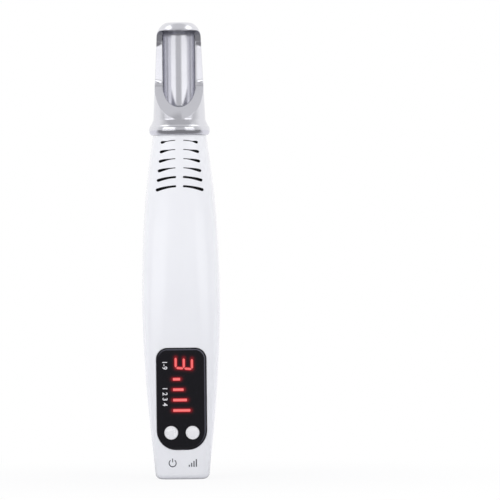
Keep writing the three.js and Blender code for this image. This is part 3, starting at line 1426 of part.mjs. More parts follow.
function lead(name, route, material) {
  const section = new THREE.Shape().absarc(0, 0, LEAD_RADIUS, 0, 4 * QUARTER);
  const settings = {
    steps: LEAD_STEPS,
    curveSegments: LEAD_SIDES / 2,
    bevelEnabled: false,
    extrudePath: new THREE.CatmullRomCurve3(route.map(([x, y, z]) => at(x, y, z))),
  };
  return named(name, new THREE.ExtrudeGeometry(section, settings), material);
}

function laserLeads() {
  const run = (fanTop + SHELF_GAP + SHELF_THICKNESS + sinkBottom) / 2;
  const socketDepth = MAIN_BOARD_FRONT - SEAT_GAP - SOCKET_HEIGHT / 2;
  return [1, -1].map((hand, i) => {
    const [legX, legY] = diodeLegPlace(i + 1);
    const aside = hand * LEAD_SPREAD;
    const socketX = socketRight + aside;
    const route = [
      [legX, legY, diodeLegEnd - LEAD_END_GAP],
      [legX, legY, sinkBottom + LEAD_WAY_RADIUS],
      [barrelRadius / 2, aside, run],
      [leadWayRight - LEAD_WAY_RADIUS, aside, run],
      [leadWayRight, aside, fanTop + SHELF_THICKNESS],
      [leadWayRight, aside, fanBottom],
      [leadWayRight, aside, mainBoardTop + LEAD_WAY_RADIUS],
      [socketX + LEAD_WAY_RADIUS, (socketDepth + aside) / 2, mainBoardTop - LEAD_RADIUS],
      [socketX, socketDepth, socketTopHeight + LEAD_SPREAD],
      [socketX, socketDepth, socketTopHeight - SOCKET_SLOT_DEPTH + LEAD_END_GAP],
    ];
    return lead(`laser_lead_${i + 1}`, route, i === 0 ? redSleeve : blackSleeve);
  });
}

function powerLeads() {
  const boardEnd = MAIN_BOARD_FRONT - LEAD_END_GAP;
  const springX = springOuter - JACK_SPRING_THICKNESS / 2;
  const turn = (MAIN_BOARD_BOTTOM + lowerPost) / 2;
  return [0, springX].map((start, i) => {
    const end = i === 0 ? -JACK_BORE_RADIUS : springX;
    const route = [
      [start, 0, tailTop + LEAD_END_GAP],
      [(3 * start + end) / 4, 0, MAIN_BOARD_BOTTOM],
      [end, boardEnd / 3, turn - LEAD_RADIUS],
      [end, boardEnd, turn + LEAD_RADIUS],
    ];
    return lead(`power_lead_${i + 1}`, route, i === 0 ? redSleeve : blackSleeve);
  });
}

function fanLead() {
  const boardEnd = MAIN_BOARD_FRONT - LEAD_END_GAP - LEAD_RADIUS;
  const route = [
    [-fanHalf - LEAD_RADIUS, 0, fanTop - LEAD_SPREAD],
    [-leadWayRight, 0, fanBottom + FAN_HEIGHT / 2],
    [-leadWayRight, 0, fanBottom - SHELF_THICKNESS],
    [-socketRight, boardEnd / 4, mainBoardTop],
    [-socketRight, boardEnd, socketTopHeight - LEAD_SPREAD],
  ];
  return lead("fan_lead", route, blackSleeve);
}

// The ribbon: an arch between the backs of the two boards, given a width.
function displayRibbon() {
  const foot = lowerPost + RIBBON_ABOVE_POST;
  const top = foot + RIBBON_ARCH;
  const near = displayPoint(0, foot - PANEL_CENTRE_HEIGHT, boardBack).y + LEAD_END_GAP;
  const far = MAIN_BOARD_FRONT - LEAD_END_GAP;
  const arch = (inset) => {
    const curve = new THREE.CubicBezierCurve(
      new THREE.Vector2(near + inset, foot),
      new THREE.Vector2(near + inset, top - inset),
      new THREE.Vector2(far - inset, top + RIBBON_WIDTH / 2 - inset),
      new THREE.Vector2(far - inset, foot),
    );
    return curve.getPoints(2 * FILLET_STEPS);
  };
  const shape = new THREE.Shape([...arch(0), ...arch(RIBBON_THICKNESS).reverse()]);
  const strip = prism(shape, -RIBBON_WIDTH / 2, RIBBON_WIDTH / 2);
  // The side view is drawn with its depth along X, so it is stood up and turned to face along the pen.
  return named("display_ribbon", strip.rotateX(QUARTER).rotateZ(QUARTER), ribbonWhite);
}

// The pen

const pen = new THREE.Group();
pen.name = "picosecond_laser_pen";
pen.add(
  frontHousing(),
  rearHousing(),
  focusHead(),
  displayPanel(),
  displayModule(),
  lightGuide("digit_light_guide", true, digitShapes(0)),
  lightGuide("level_light_guide", false, barShapes(0)),
  displayBoard(),
  ...frontButtons(),
  ...triggerPieces(),
  mainBoard(),
  capacitor(),
  ...inductorPieces(),
  driverChip(),
  laserSocket(),
  ...jackPieces(),
  heatSink(),
  ...laserPieces(),
  ...fanPieces(),
  ...laserLeads(),
  ...powerLeads(),
  fanLead(),
  displayRibbon(),
  ...housingScrews(),
  ...boardScrews(),
  ...displayScrews(),
);

export default pen;
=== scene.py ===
"""Looks of a picosecond laser pen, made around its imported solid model.

Shapes are worked out in millimetres and turned to metres when they become meshes. The pen stands on its
base with +Z up to its tip, and the display faces -Y.
"""

import logging
import math
from collections.abc import Callable, Sequence
from dataclasses import dataclass, field
from enum import Enum
from functools import cache

import bmesh
import bpy
import numpy as np
from mathutils import Matrix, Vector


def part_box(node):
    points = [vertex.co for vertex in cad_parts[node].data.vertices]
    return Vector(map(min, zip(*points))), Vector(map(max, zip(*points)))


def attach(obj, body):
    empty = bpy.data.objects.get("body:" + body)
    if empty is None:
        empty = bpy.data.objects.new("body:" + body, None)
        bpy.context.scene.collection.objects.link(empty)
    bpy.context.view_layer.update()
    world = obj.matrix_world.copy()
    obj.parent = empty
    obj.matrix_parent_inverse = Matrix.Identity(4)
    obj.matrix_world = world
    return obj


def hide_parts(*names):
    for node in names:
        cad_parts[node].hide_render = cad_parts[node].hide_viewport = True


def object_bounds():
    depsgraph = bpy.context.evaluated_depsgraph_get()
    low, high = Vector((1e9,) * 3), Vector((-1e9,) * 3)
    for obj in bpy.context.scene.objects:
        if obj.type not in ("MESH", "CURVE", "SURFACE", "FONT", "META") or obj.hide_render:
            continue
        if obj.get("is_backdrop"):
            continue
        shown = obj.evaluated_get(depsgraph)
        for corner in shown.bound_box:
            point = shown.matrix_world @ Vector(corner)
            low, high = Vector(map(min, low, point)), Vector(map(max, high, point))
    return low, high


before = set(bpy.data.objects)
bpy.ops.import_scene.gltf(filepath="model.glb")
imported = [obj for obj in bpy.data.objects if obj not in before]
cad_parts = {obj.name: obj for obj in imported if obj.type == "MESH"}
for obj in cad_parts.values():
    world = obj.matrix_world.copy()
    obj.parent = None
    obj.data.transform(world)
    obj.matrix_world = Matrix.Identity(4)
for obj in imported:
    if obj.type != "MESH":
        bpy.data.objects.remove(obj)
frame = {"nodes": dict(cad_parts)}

logging.basicConfig(level=logging.INFO, format="%(message)s")
log = logging.getLogger("laser_pen")

Array = np.ndarray
Pair = tuple[float, float]
Object = bpy.types.Object
MM = 0.001
SHARP_ANGLE = math.radians(32)
TINY = 1e-9
# The housing's skin stands this far outside the solid model's, so that the two never share a face.
LIFT = 0.006


# Forms


def beside(*values: Array | float) -> Array:
    """Arrays side by side: the last axis takes one value from each, and a plain number repeats."""
    return np.stack(np.broadcast_arrays(*values), -1)


def over(flat: Array, height: Array | float) -> Array:
    """Places on a plane, with a height as their third coordinate."""
    return beside(flat[:, 0], flat[:, 1], height)


def unit(vectors: Array) -> Array:
    """Vectors scaled to length one."""
    return vectors / np.maximum(np.linalg.norm(vectors, axis=-1, keepdims=True), TINY)


def quarter(steps: int) -> Array:
    """Angles from zero to a quarter turn."""
    return np.linspace(0, math.pi / 2, steps + 1)


def ease(share: Array) -> Array:
    """A smooth step from zero to one: 3 s^2 - 2 s^3."""
    return share**2 * (3 - 2 * share)


def catmull_rom(points: Array, count: int) -> Array:
    """Points along a uniform Catmull-Rom curve.

    Each span is the cubic whose end slopes are half the chord between the points on either side, and the
    curve's ends are extended by mirroring their first neighbour.

    Args:
        points: The stations, one row each.
        count: How many points to give back.

    Returns:
        One row per point.
    """
    padded = np.vstack([2 * points[0] - points[1], points, 2 * points[-1] - points[-2]])
    place = np.linspace(0, len(points) - 1, count)
    span = np.minimum(place.astype(int), len(points) - 2)
    w = (place - span)[:, None]
    before, start, end, after = (padded[span + k] for k in range(4))
    leave, arrive = (end - before) / 2, (after - start) / 2
    hermite = (2 * w**3 - 3 * w**2 + 1) * start + (3 * w**2 - 2 * w**3) * end
    return hermite + (w**3 - 2 * w**2 + w) * leave + (w**3 - w**2) * arrive


class Side(Enum):
    """The two halves of the pen, by the sign of their Y."""

    FRONT = -1
    BACK = 1


@dataclass(frozen=True)
class BodyForm:
    """The housing's outer form: superellipse sections whose sizes follow curves up the pen."""

    length: float = 146.7
    width: float = 33.3
    depth: float = 29.0
    base_fillet: float = 2.2
    samples: int = 6001
    # Height, half width, front and back as shares, then the section's exponent.
    stations: tuple[tuple[float, ...], ...] = (
        (0, 0.68, 0.64, 0.64, 4.4),
        (0.17, 0.832, 0.8, 0.81, 4.2),
        (0.34, 0.945, 0.92, 0.93, 3.7),
        (0.525, 1, 1, 1, 3.1),
        (0.68, 0.973, 0.985, 0.98, 2.8),
        (0.804, 0.903, 0.93, 0.92, 2.6),
        (0.913, 0.797, 0.855, 0.85, 2.4),
        (1, 0.69, 0.78, 0.78, 2.2),
    )

    def sections(self, height: Array, inset: float = 0) -> tuple[Array, Array, Array, Array]:
        """Half width, front depth, back depth and exponent at each height, inset by a wall.

        Near the base the section also shrinks by the fillet: its radius less the half chord there.

        Args:
            height: Heights over the base.
            inset: How far inside the outer form.

        Returns:
            One value of each kind for every height.
        """
        curve = catmull_rom(np.array(self.stations, float), self.samples)
        height = np.asarray(height, float)
        share = np.clip(height / self.length, 0, 1)
        half, front, back, power = (np.interp(share, curve[:, 0], curve[:, k]) for k in range(1, 5))
        below = np.clip(self.base_fillet - height, 0, self.base_fillet)
        take = inset + (self.base_fillet - np.sqrt(self.base_fillet**2 - below**2))
        depths = (depth * self.depth / 2 - take for depth in (front, back))
        return (half * self.width / 2 - take, *depths, power)

    def depth_at(self, side: Side, x: Array, height: Array, inset: float = 0) -> Array:
        """Distance from the seam to the surface: depth times (1 - |x / half width|^n)^(1 / n).

        Args:
            side: The half of the pen.
            x: Places across the pen.
            height: Heights over the base.
            inset: How far inside the outer form.

        Returns:
            One distance for each place.
        """
        half, front, back, power = self.sections(height, inset)
        share = np.minimum(np.abs(x) / half, 1)
        return (back if side is Side.BACK else front) * (1 - share**power) ** (1 / power)

    def reach(self, points: Array, inset: float = 0) -> Array:
        """Size of the superellipse through each point, where 1 is the surface itself.

        Args:
            points: Places in millimetres.
            inset: How far inside the outer form.

        Returns:
            One size for each place, which is less than 1 inside the form.
        """
        half, front, back, power = self.sections(points[:, 2], inset)
        depth = np.where(points[:, 1] > 0, back, front)
        across = (np.abs(points[:, 0]) / half) ** power
        return (across + (np.abs(points[:, 1]) / depth) ** power) ** (1 / power)

    def normals(self, points: Array, inset: float = 0) -> Array:
        """Unit normals: the slope of reach by central differences along each axis."""
        steps = 0.02 * np.eye(3)
        return unit(beside(*(self.reach(points + s, inset) - self.reach(points - s, inset) for s in steps)))

    def ring(self, height: float, inset: float, sides: int) -> Array:
        """One section as a ring of points at even polar angles, anticlockwise from +X.

        Along a direction (c, s) the radius is (|c / a|^n + |s / b|^n)^(-1 / n).

        Args:
            height: Height over the base.
            inset: How far inside the outer form.
            sides: How many points.

        Returns:
            One row per point.
        """
        half, front, back, power = (float(v) for v in self.sections(np.array(height), inset))
        angle = 2 * math.pi * np.arange(sides) / sides
        cos, sin = np.cos(angle), np.sin(angle)
        depth = np.where(sin > 0, back, front)
        radius = ((np.abs(cos) / half) ** power + (np.abs(sin) / depth) ** power) ** (-1 / power)
        return beside(radius * cos, radius * sin, height)


BODY = BodyForm()


# Meshes


def grid_quads(rows: int, columns: int, around: bool = True) -> list[list[int]]:
    """Quads between neighbouring rows of a grid of points.

    Args:
        rows: Number of rows.
        columns: Points in each row.
        around: Whether each row closes on itself.

    Returns:
        Four point numbers for each quad.
    """
    last = columns if around else columns - 1
    row, column = np.meshgrid(np.arange(rows - 1), np.arange(last), indexing="ij")
    near, beyond = row * columns + column, row * columns + (column + 1) % columns
    return beside(near, beyond, beyond + columns, near + columns).reshape(-1, 4).tolist()


@dataclass
class Solid:
    """A closed surface: points in millimetres and faces that name them."""

    points: Array
    faces: list[list[int]]

    @classmethod
    def loft(cls, rings: Sequence[Array], closed: bool = False) -> "Solid":
        """Skins rings of points, and closes both ends with a fan about their middle.

        Args:
            rings: Rows by points by three.
            closed: Whether the last ring joins the first, as round a hollow ring.

        Returns:
            The closed surface.
        """
        rings = np.array(rings)
        rows, sides, _ = rings.shape
        if closed:
            faces = np.array(grid_quads(rows + 1, sides))
            return cls(rings.reshape(-1, 3), (faces % (rows * sides)).tolist())
        points = np.vstack([rings.reshape(-1, 3), rings[0].mean(0), rings[-1].mean(0)])
        here = np.arange(sides)
        there = (here + 1) % sides
        centre, last = rows * sides, (rows - 1) * sides
        low = beside(centre, there, here).tolist()
        high = beside(centre + 1, last + here, last + there).tolist()
        return cls(points, grid_quads(rows, sides) + low + high)

    @classmethod
    def turned(cls, profile: Sequence[Pair], sides: int = 96, closed: bool = False) -> "Solid":
        """Turns a profile of radius and height about Z: each point goes to (r cos t, r sin t, h).

        Args:
            profile: Radius and height of each point.
            sides: Steps round the turn.
            closed: Whether the profile's last point joins its first.

        Returns:
            The closed surface.
        """
        radius, height = np.array(profile, float).T[..., None]
        angle = 2 * math.pi * np.arange(sides) / sides
        return cls.loft(beside(radius * np.cos(angle), radius * np.sin(angle), height), closed)

    @classmethod
    def rod(cls, radius: float, low: float, high: float, sides: int) -> "Solid":
        """A round rod, used only to cut with."""
        return cls.turned([(radius, low), (radius, high)], sides)

    @classmethod
    def block(cls, low: Sequence[float], high: Sequence[float]) -> "Solid":
        """A block between two corners, used only to cut with.

        Args:
            low: The corner with the smaller coordinates.
            high: The corner with the larger ones.

        Returns:
            The block.
        """
        (x0, y0, z0), (x1, y1, z1) = low, high
        ring = np.array([[x0, y0], [x1, y0], [x1, y1], [x0, y1]], float)
        return cls.loft([over(ring, z) for z in (z0, z1)])

    @classmethod
    def together(cls, solids: Sequence["Solid"]) -> "Solid":
        """Several separate solids as one.

        Args:
            solids: The separate solids.

        Returns:
            One solid that holds them all.
        """
        starts = np.cumsum([0] + [len(s.points) for s in solids[:-1]])
        faces = [[int(start) + i for i in face] for start, s in zip(starts, solids) for face in s.faces]
        return cls(np.vstack([s.points for s in solids]), faces)

    def moved(self, place: Callable[[Array], Array]) -> "Solid":
        """The same faces on points that a function has placed."""
        return Solid(place(self.points), self.faces)

    def on_display(self, x: float, y: float) -> "Solid":
        """The solid stood on the display's plane, with its own Z straight out of it."""
        return self.moved(lambda p: DISPLAY.place(p + np.array([x, y, 0])))

    def on_back(self, x: float, height: float, depth: float = 0) -> "Solid":
        """The solid at a height on the pen's back, with its own Z straight out of it."""
        return self.moved(lambda p: beside(p[:, 0] + x, p[:, 2] + depth, height - p[:, 1]))


def linked(name: str, data: bpy.types.ID) -> Object:
    """An object made of its data and put in the scene.

    Args:
        name: The object's name.
        data: Its mesh, curve, lamp or camera.

    Returns:
        The object.
    """
    made = bpy.data.objects.new(name, data)
    bpy.context.scene.collection.objects.link(made)
    return made


def merge(mesh: bpy.types.Mesh, slivers: bool = False, outwards: bool = False) -> None:
    """Merges doubles, and where asked also takes out slivers and turns every face outwards.

    Args:
        mesh: The mesh, which is changed in place.
        slivers: Whether edges and faces of no size are taken out.
        outwards: Whether faces are turned outwards.
    """
    work = bmesh.new()
    work.from_mesh(mesh)
    bmesh.ops.remove_doubles(work, verts=work.verts, dist=1e-7)
    if slivers:
        bmesh.ops.dissolve_degenerate(work, edges=work.edges, dist=1e-8)
    if outwards:
        bmesh.ops.recalc_face_normals(work, faces=work.faces)
    work.to_mesh(mesh)
    work.free()


def as_object(name: str, solid: Solid) -> Object:
    """Makes an object of a solid, with doubles merged and every face outwards.

    Args:
        name: The object's name.
        solid: Its surface in millimetres.

    Returns:
        The object.
    """
    mesh = bpy.data.meshes.new(name)
    mesh.from_pydata((solid.points * MM).tolist(), [], solid.faces)
    merge(mesh, slivers=True, outwards=True)
    return linked(name, mesh)


def copy_of(node: str) -> Object:
    """A copy of a node of the solid model, with its loose triangles merged.

    Args:
        node: The node's name.

    Returns:
        The copy, without a material.
    """
    mesh = frame["nodes"][node].data.copy()
    mesh.materials.clear()
    merge(mesh)
    return linked(node + "_copy", mesh)


class Carve(Enum):
    """What a tool does to a piece."""

    CUT = "DIFFERENCE"
    ADD = "UNION"
    KEEP = "INTERSECT"


def carve(piece: Object, how: Carve, *tools: Solid | Object) -> None:
    """Cuts a piece with each tool, adds the tools to it, or keeps what lies in them.

    Args:
        piece: The piece, which is changed in place.
        how: What each tool does to it.
        tools: Solids or objects, which are used up.
    """
    for tool in tools:
        helper = as_object("tool", tool) if isinstance(tool, Solid) else tool
        step = piece.modifiers.new("carve", "BOOLEAN")
        step.operation = how.value
        step.solver = "MANIFOLD"
        step.object = helper
        graph = bpy.context.evaluated_depsgraph_get()
        old, piece.data = piece.data, bpy.data.meshes.new_from_object(piece.evaluated_get(graph))
        piece.modifiers.clear()
        piece.data.name = piece.name
        bpy.data.meshes.remove(old)
        bpy.data.objects.remove(helper)


def read(items: bpy.types.bpy_prop_collection, key: str, width: int = 1, kind: type = float) -> Array:
    """One value for each item of a mesh, or a row of them.

    Args:
        items: The mesh's vertices, corners or faces.
        key: The property to read.
        width: How many numbers the property holds.
        kind: Their type.

    Returns:
        One value for each item, or one row where width is more than 1.
    """
    values = np.empty(len(items) * width, kind)
    items.foreach_get(key, values)
    return values.reshape(-1, width) if width > 1 else values


def places(piece: Object) -> Array:
    """A piece's points in millimetres."""
    return read(piece.data.vertices, "co", 3) / MM


def paint(piece: Object, name: str, values: Array) -> None:
    """Stores a number for each point, which a material reads by its name."""
    made = piece.data.attributes.new(name, "FLOAT", "POINT")
    made.data.foreach_set("value", values.astype(np.float32))


NormalRule = Callable[[Array, Array], tuple[Array, Array]]


def shade(piece: Object, rule: NormalRule | None = None, angle: float = SHARP_ANGLE) -> None:
    """Shades a piece smooth up to an angle, with exact normals where a rule gives them.

    Args:
        piece: The piece to shade.
        rule: Takes points and face normals at them, and gives true normals and where they hold.
        angle: Edges sharper than this stay sharp.
    """
    mesh = piece.data
    mesh.polygons.foreach_set("use_smooth", np.ones(len(mesh.polygons), bool))
    mesh.set_sharp_from_angle(angle=angle)
    if rule is None:
        return
    corners = read(mesh.loops, "vertex_index", kind=int)
    counts = read(mesh.polygons, "loop_total", kind=int)
    faces = read(mesh.polygons, "normal", 3)
    _, held = rule(read(mesh.polygons, "center", 3) / MM, faces)
    true, _ = rule(places(piece)[corners], np.repeat(faces, counts, 0))
    mesh.normals_split_custom_set(np.where(np.repeat(held, counts)[:, None], true, 0.0).tolist())


def on_body(inset: float, slack: float = 0.06) -> NormalRule:
    """A rule for faces that lie on the housing's outer form.

    Args:
        inset: How far inside the outer form.
        slack: How far from that surface a face may lie.

    Returns:
        The rule, which shade takes.
    """

    def rule(points: Array, faces: Array) -> tuple[Array, Array]:
        """Normals of the form, where a face lies within the slack of it and points nearly the same way.

        Args:
            points: Places in millimetres.
            faces: Face normals there.

        Returns:
            The form's normals, and where they hold.
        """
        true = BODY.normals(points, inset)
        off = np.abs(BODY.reach(points, inset) - 1) * BODY.width / 2
        return true, (off < slack) & ((true * faces).sum(1) > 0.85)

    return rule


# Finishes


def linear(code: str) -> tuple[float, float, float, float]:
    """Turns an sRGB hex colour to linear light."""
    values = [int(code[i : i + 2], 16) / 255 for i in (1, 3, 5)]
    return (*(v / 12.92 if v <= 0.04045 else ((v + 0.055) / 1.055) ** 2.4 for v in values), 1.0)


def bare_tree(owner: bpy.types.Material | bpy.types.World) -> bpy.types.NodeTree:
    """The empty node tree of a new material or world.

    Args:
        owner: The material or world.

    Returns:
        Its tree.
    """
    owner.use_nodes = True
    owner.node_tree.nodes.clear()
    return owner.node_tree


def add_node(
    tree: bpy.types.NodeTree, kind: str, inputs: dict | None = None, **settings: object
) -> bpy.types.Node:
    """Adds a shader node with its settings. An input that is a socket is linked, and any other is set.

    Args:
        tree: The tree that takes the node.
        kind: The node's type without its prefix.
        inputs: Sockets and values by the input's name or number.
        settings: The node's own properties.

    Returns:
        The node.
    """
    node = tree.nodes.new("ShaderNode" + kind)
    for name, value in settings.items():
        setattr(node, name, value)
    for key, value in (inputs or {}).items():
        if isinstance(value, bpy.types.NodeSocket):
            tree.links.new(value, node.inputs[key])
        else:
            node.inputs[key].default_value = value
    return node


@dataclass(frozen=True)
class Finish:
    """A surface: its colour, gloss and fine texture, with sizes in real millimetres."""

    name: str
    colour: str
    shade: str
    roughness: Pair
    metallic: float = 0.0
    ior: float | None = None
    coat: float = 0.0
    coat_roughness: float = 0.05
    transmission: float = 0.0
    grain: float = 0.4
    grain_height: float = 0.002
    patch: float = 14.0
    stretch: tuple[float, float, float] = (1.0, 1.0, 1.0)
    soft_edge: float = 0.0

    def base(self) -> tuple[bpy.types.Material, bpy.types.NodeTree, bpy.types.Node]:
        """Builds the material: slow patches vary colour and gloss, and a fine grain gives the bump.

        Returns:
            The material, its tree and its shader.
        """
        material = bpy.data.materials.new(self.name)
        tree = bare_tree(material)
        place = add_node(tree, "TexCoord").outputs["Object"]
        along = add_node(tree, "Mapping", {"Vector": place, "Scale": self.stretch}).outputs[0]
        noises = (
            add_node(tree, "TexNoise", {"Vector": along, "Scale": 1 / (size * MM), "Detail": detail})
            for size, detail in ((self.patch, 3.0), (self.grain, 2.0))
        )
        slow, fine = (noise.outputs["Fac"] for noise in noises)
        tints = {"Factor": slow, "A": linear(self.shade), "B": linear(self.colour)}
        colour = add_node(tree, "Mix", tints, data_type="RGBA")
        low, high = self.roughness
        rough = add_node(
            tree, "MapRange", {"Value": slow, "From Min": 0.3, "From Max": 0.7, "To Min": low, "To Max": high}
        )
        bump = add_node(tree, "Bump", {"Height": fine, "Strength": 1.0, "Distance": self.grain_height * MM})
        if self.soft_edge:
            edge = add_node(tree, "Bevel", {"Radius": self.soft_edge * MM}, samples=6)
            tree.links.new(edge.outputs["Normal"], bump.inputs["Normal"])
        inputs = {
            "Base Color": colour.outputs["Result"],
            "Roughness": rough.outputs["Result"],
            "Normal": bump.outputs["Normal"],
            "Metallic": self.metallic,
            "Coat Weight": self.coat,
            "Coat Roughness": self.coat_roughness,
            "Transmission Weight": self.transmission,
        }
        shader = add_node(tree, "BsdfPrincipled", inputs)
        if self.ior is not None:
            shader.inputs["IOR"].default_value = self.ior
        add_node(tree, "OutputMaterial", {"Surface": shader.outputs[0]})
        return material, tree, shader

    def make(self) -> bpy.types.Material:
        """The finished material."""
        return self.base()[0]


@dataclass(frozen=True)
class LitPanel(Finish):
    """Black gloss that emits a painted red glow about the lit strokes, from the attribute glow.

    A pale painted highlight also runs along a fine frame line in its colour, from the attribute edge_light.
    """

    # Colour of the painted glow that the panel emits about the lit strokes.
    glow: str = "#b01020"
    # Pale colour of the painted highlight along the frame line.
    edge: str = "#5e5e68"
    # Emission strength of the painted glow.
    strength: float = 0.4

    def make(self) -> bpy.types.Material:
        """The base finish with a painted glow and a pale painted highlight line that follow the attributes.

        Returns:
            The material.
        """
        material, tree, shader = self.base()
        glow, line = (
            add_node(tree, "Attribute", attribute_name=name).outputs["Fac"] for name in ("glow", "edge_light")
        )
        power = add_node(tree, "Math", {0: glow, 1: self.strength}, operation="MULTIPLY").outputs[0]
        shader.inputs["Emission Color"].default_value = linear(self.glow)
        tree.links.new(power, shader.inputs["Emission Strength"])
        # The painted highlight: the frame line's pale colour mixed over the base colour.
        under = shader.inputs["Base Color"].links[0].from_socket
        tints = {"Factor": line, "A": under, "B": linear(self.edge)}
        colour = add_node(tree, "Mix", tints, data_type="RGBA")
        tree.links.new(colour.outputs["Result"], shader.inputs["Base Color"])
        return material


@dataclass(frozen=True)
class LitSegment(Finish):
    """A moulded light guide lit from behind: pale where it is brightest, from the attribute core."""

    edge: str = "#f0202c"
    pale: str = "#fb8886"
    strength: float = 1.0

    def make(self) -> bpy.types.Material:
        """The base finish with emission whose colour runs from the edge to the pale core.

        Returns:
            The material.
        """
        material, tree, shader = self.base()
        core = add_node(tree, "Attribute", attribute_name="core").outputs["Fac"]
        tints = {"Factor": core, "A": linear(self.edge), "B": linear(self.pale)}
        colour = add_node(tree, "Mix", tints, data_type="RGBA")
        tree.links.new(colour.outputs["Result"], shader.inputs["Emission Color"])
        shader.inputs["Emission Strength"].default_value = self.strength
        return material


# Polished injection-moulded ABS: white with a clear gloss, and long soft reflections that barely waver.
GLOSS_WHITE = Finish("polished_white_abs", "#f4f5f8", "#eff0f4", (0.14, 0.2), ior=1.53, coat=0.5,
                     grain=1.6, grain_height=0.0012, patch=30)
# Chrome plate on a polished moulding: a mirror that is softened a little by the base under it.
CHROME = Finish("soft_chrome_plate", "#e2e2e7", "#dadae0", (0.15, 0.2), metallic=1, grain=1.2,
                grain_height=0.0008, patch=9, soft_edge=0.3)
# Black polycarbonate with a hard gloss, like piano lacquer, with a painted glow and a painted frame
# highlight.
PANEL_BLACK = LitPanel("black_gloss_polycarbonate", "#131217", "#0f0e13", (0.08, 0.12), ior=1.45,
                       grain=2.5, grain_height=0.0006, patch=18)
# Red light guide of tinted acrylic: a clear deep red that glows where it is lit.
LIT_RED = LitSegment("lit_red_acrylic", "#5c0a0e", "#4a080b", (0.25, 0.35), ior=1.49, grain=0.5, patch=3,
                     strength=0.9)
# Silver lacquer on a moulded key: fine metal flakes under a satin clear coat.
KEY_SILVER = Finish("silver_lacquered_key", "#fdfdfe", "#f6f6f8", (0.24, 0.32), metallic=0.1, coat=0.3,
                    grain=0.12, grain_height=0.0005, patch=6)
# Nylon and ABS moulded against a spark-eroded tool: matt black with an even fine texture.
MATT_BLACK = Finish("textured_black_nylon", "#1c1d20", "#131416", (0.5, 0.62), ior=1.5, grain=0.25,
                    grain_height=0.006, patch=6)
# Woven nylon gauze, black as painted shade behind the vents: dull black threads, drawn a little coarser
# than 0.2 mm so that they show.
SHADE_GAUZE = Finish("black_shade_gauze", "#0f0f11", "#08080a", (0.7, 0.8), ior=1.5, grain=0.35,
               grain_height=0.03, patch=3)
# Green solder mask over glass fibre: the weave shows as a fine ripple.
SOLDER_MASK = Finish("green_solder_mask", "#1f6a41", "#164f30", (0.28, 0.42), ior=1.5, grain=0.5,
                     grain_height=0.004, patch=3)
# Zinc-plated steel: bright, with a faint cloudy grain.
ZINC_STEEL = Finish("zinc_plated_steel", "#bfc3c8", "#a9adb2", (0.22, 0.34), metallic=1, grain=0.2,
                    grain_height=0.001, patch=2)
# Turned brass: rings of fine tool marks lie across Z.
TURNED_BRASS = Finish("turned_brass", "#c9a24e", "#b58d3e", (0.2, 0.32), metallic=1, grain=0.8,
                      grain_height=0.0015, patch=8, stretch=(1, 1, 12))
# Extruded aluminium: die lines run along Z.
EXTRUDED_ALUMINIUM = Finish("extruded_aluminium", "#b4b8bd", "#9da1a7", (0.3, 0.42), metallic=1, grain=0.3,
                            grain_height=0.003, patch=5, stretch=(1, 1, 0.06))
# Enamelled copper wire wound in layers: glossy ridges a wire apart.
COPPER_WIRE = Finish("enamelled_copper_wire", "#b8693a", "#8f4a26", (0.25, 0.4), metallic=0.9, coat=0.6,
                     grain=0.6, grain_height=0.02, patch=1.2, stretch=(0.2, 4, 0.2))
# Sintered ferrite: dull, grey-black and slightly grainy.
FERRITE = Finish("sintered_ferrite", "#3c3d41", "#2c2d30", (0.6, 0.75), ior=1.9, grain=0.3,
                 grain_height=0.008, patch=2)
# Coated optical glass: clear, with a faint blue cast.
COATED_GLASS = Finish("coated_glass", "#dff1f7", "#d3ecf4", (0.0, 0.02), ior=1.52, transmission=1.0,
                      grain=4, grain_height=0.0001, patch=20)
# Extruded PVC insulation of hook-up wire: satin, in red and in black.
RED_PVC = Finish("red_pvc_sleeve", "#a81d18", "#8c1612", (0.35, 0.48), ior=1.53, grain=0.5, patch=4)
BLACK_PVC = Finish("black_pvc_sleeve", "#17171a", "#0f0f11", (0.35, 0.48), ior=1.53, grain=0.5, patch=4)
# Off-white nylon of a connector and polyester of a ribbon: a soft even satin.
WHITE_NYLON = Finish("off_white_nylon", "#e4e1d6", "#d6d2c5", (0.4, 0.52), ior=1.52, grain=0.3,
                     grain_height=0.003, patch=4)
# Pad-printed ink, which dries flat and dull: white on the panel, grey on the housing.
WHITE_INK = Finish("white_pad_print", "#f2f2f4", "#e6e6ea", (0.4, 0.5), ior=1.5, grain=0.2, patch=2)
GREY_INK = Finish("grey_pad_print", "#54555e", "#484952", (0.4, 0.5), ior=1.5, grain=0.2, patch=2)


@cache
def coat_of(finish: Finish) -> bpy.types.Material:
    """The material of a finish, made once."""
    return finish.make()


class Body(Enum):
    """The bodies that the joints move."""

    PEN = "pen"
    LEFT = "left_button"
    RIGHT = "right_button"
    TRIGGER = "trigger"


def fit(piece: Object, finish: Finish, slot: str, *nodes: str, body: Body = Body.PEN) -> None:
    """Gives a finished piece its material and body, and hides the solid model's nodes that it replaces.

    Args:
        piece: The finished piece.
        finish: Its surface.
        slot: Not used.
        nodes: Nodes of the solid model that it replaces.
        body: The body it rides on.
    """
    piece.data.materials.clear()
    piece.data.materials.append(coat_of(finish))
    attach(piece, body.value)
    if nodes:
        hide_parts(*nodes)
    log.info("%s: %d faces", piece.name, len(piece.data.polygons))


# Sub-assemblies


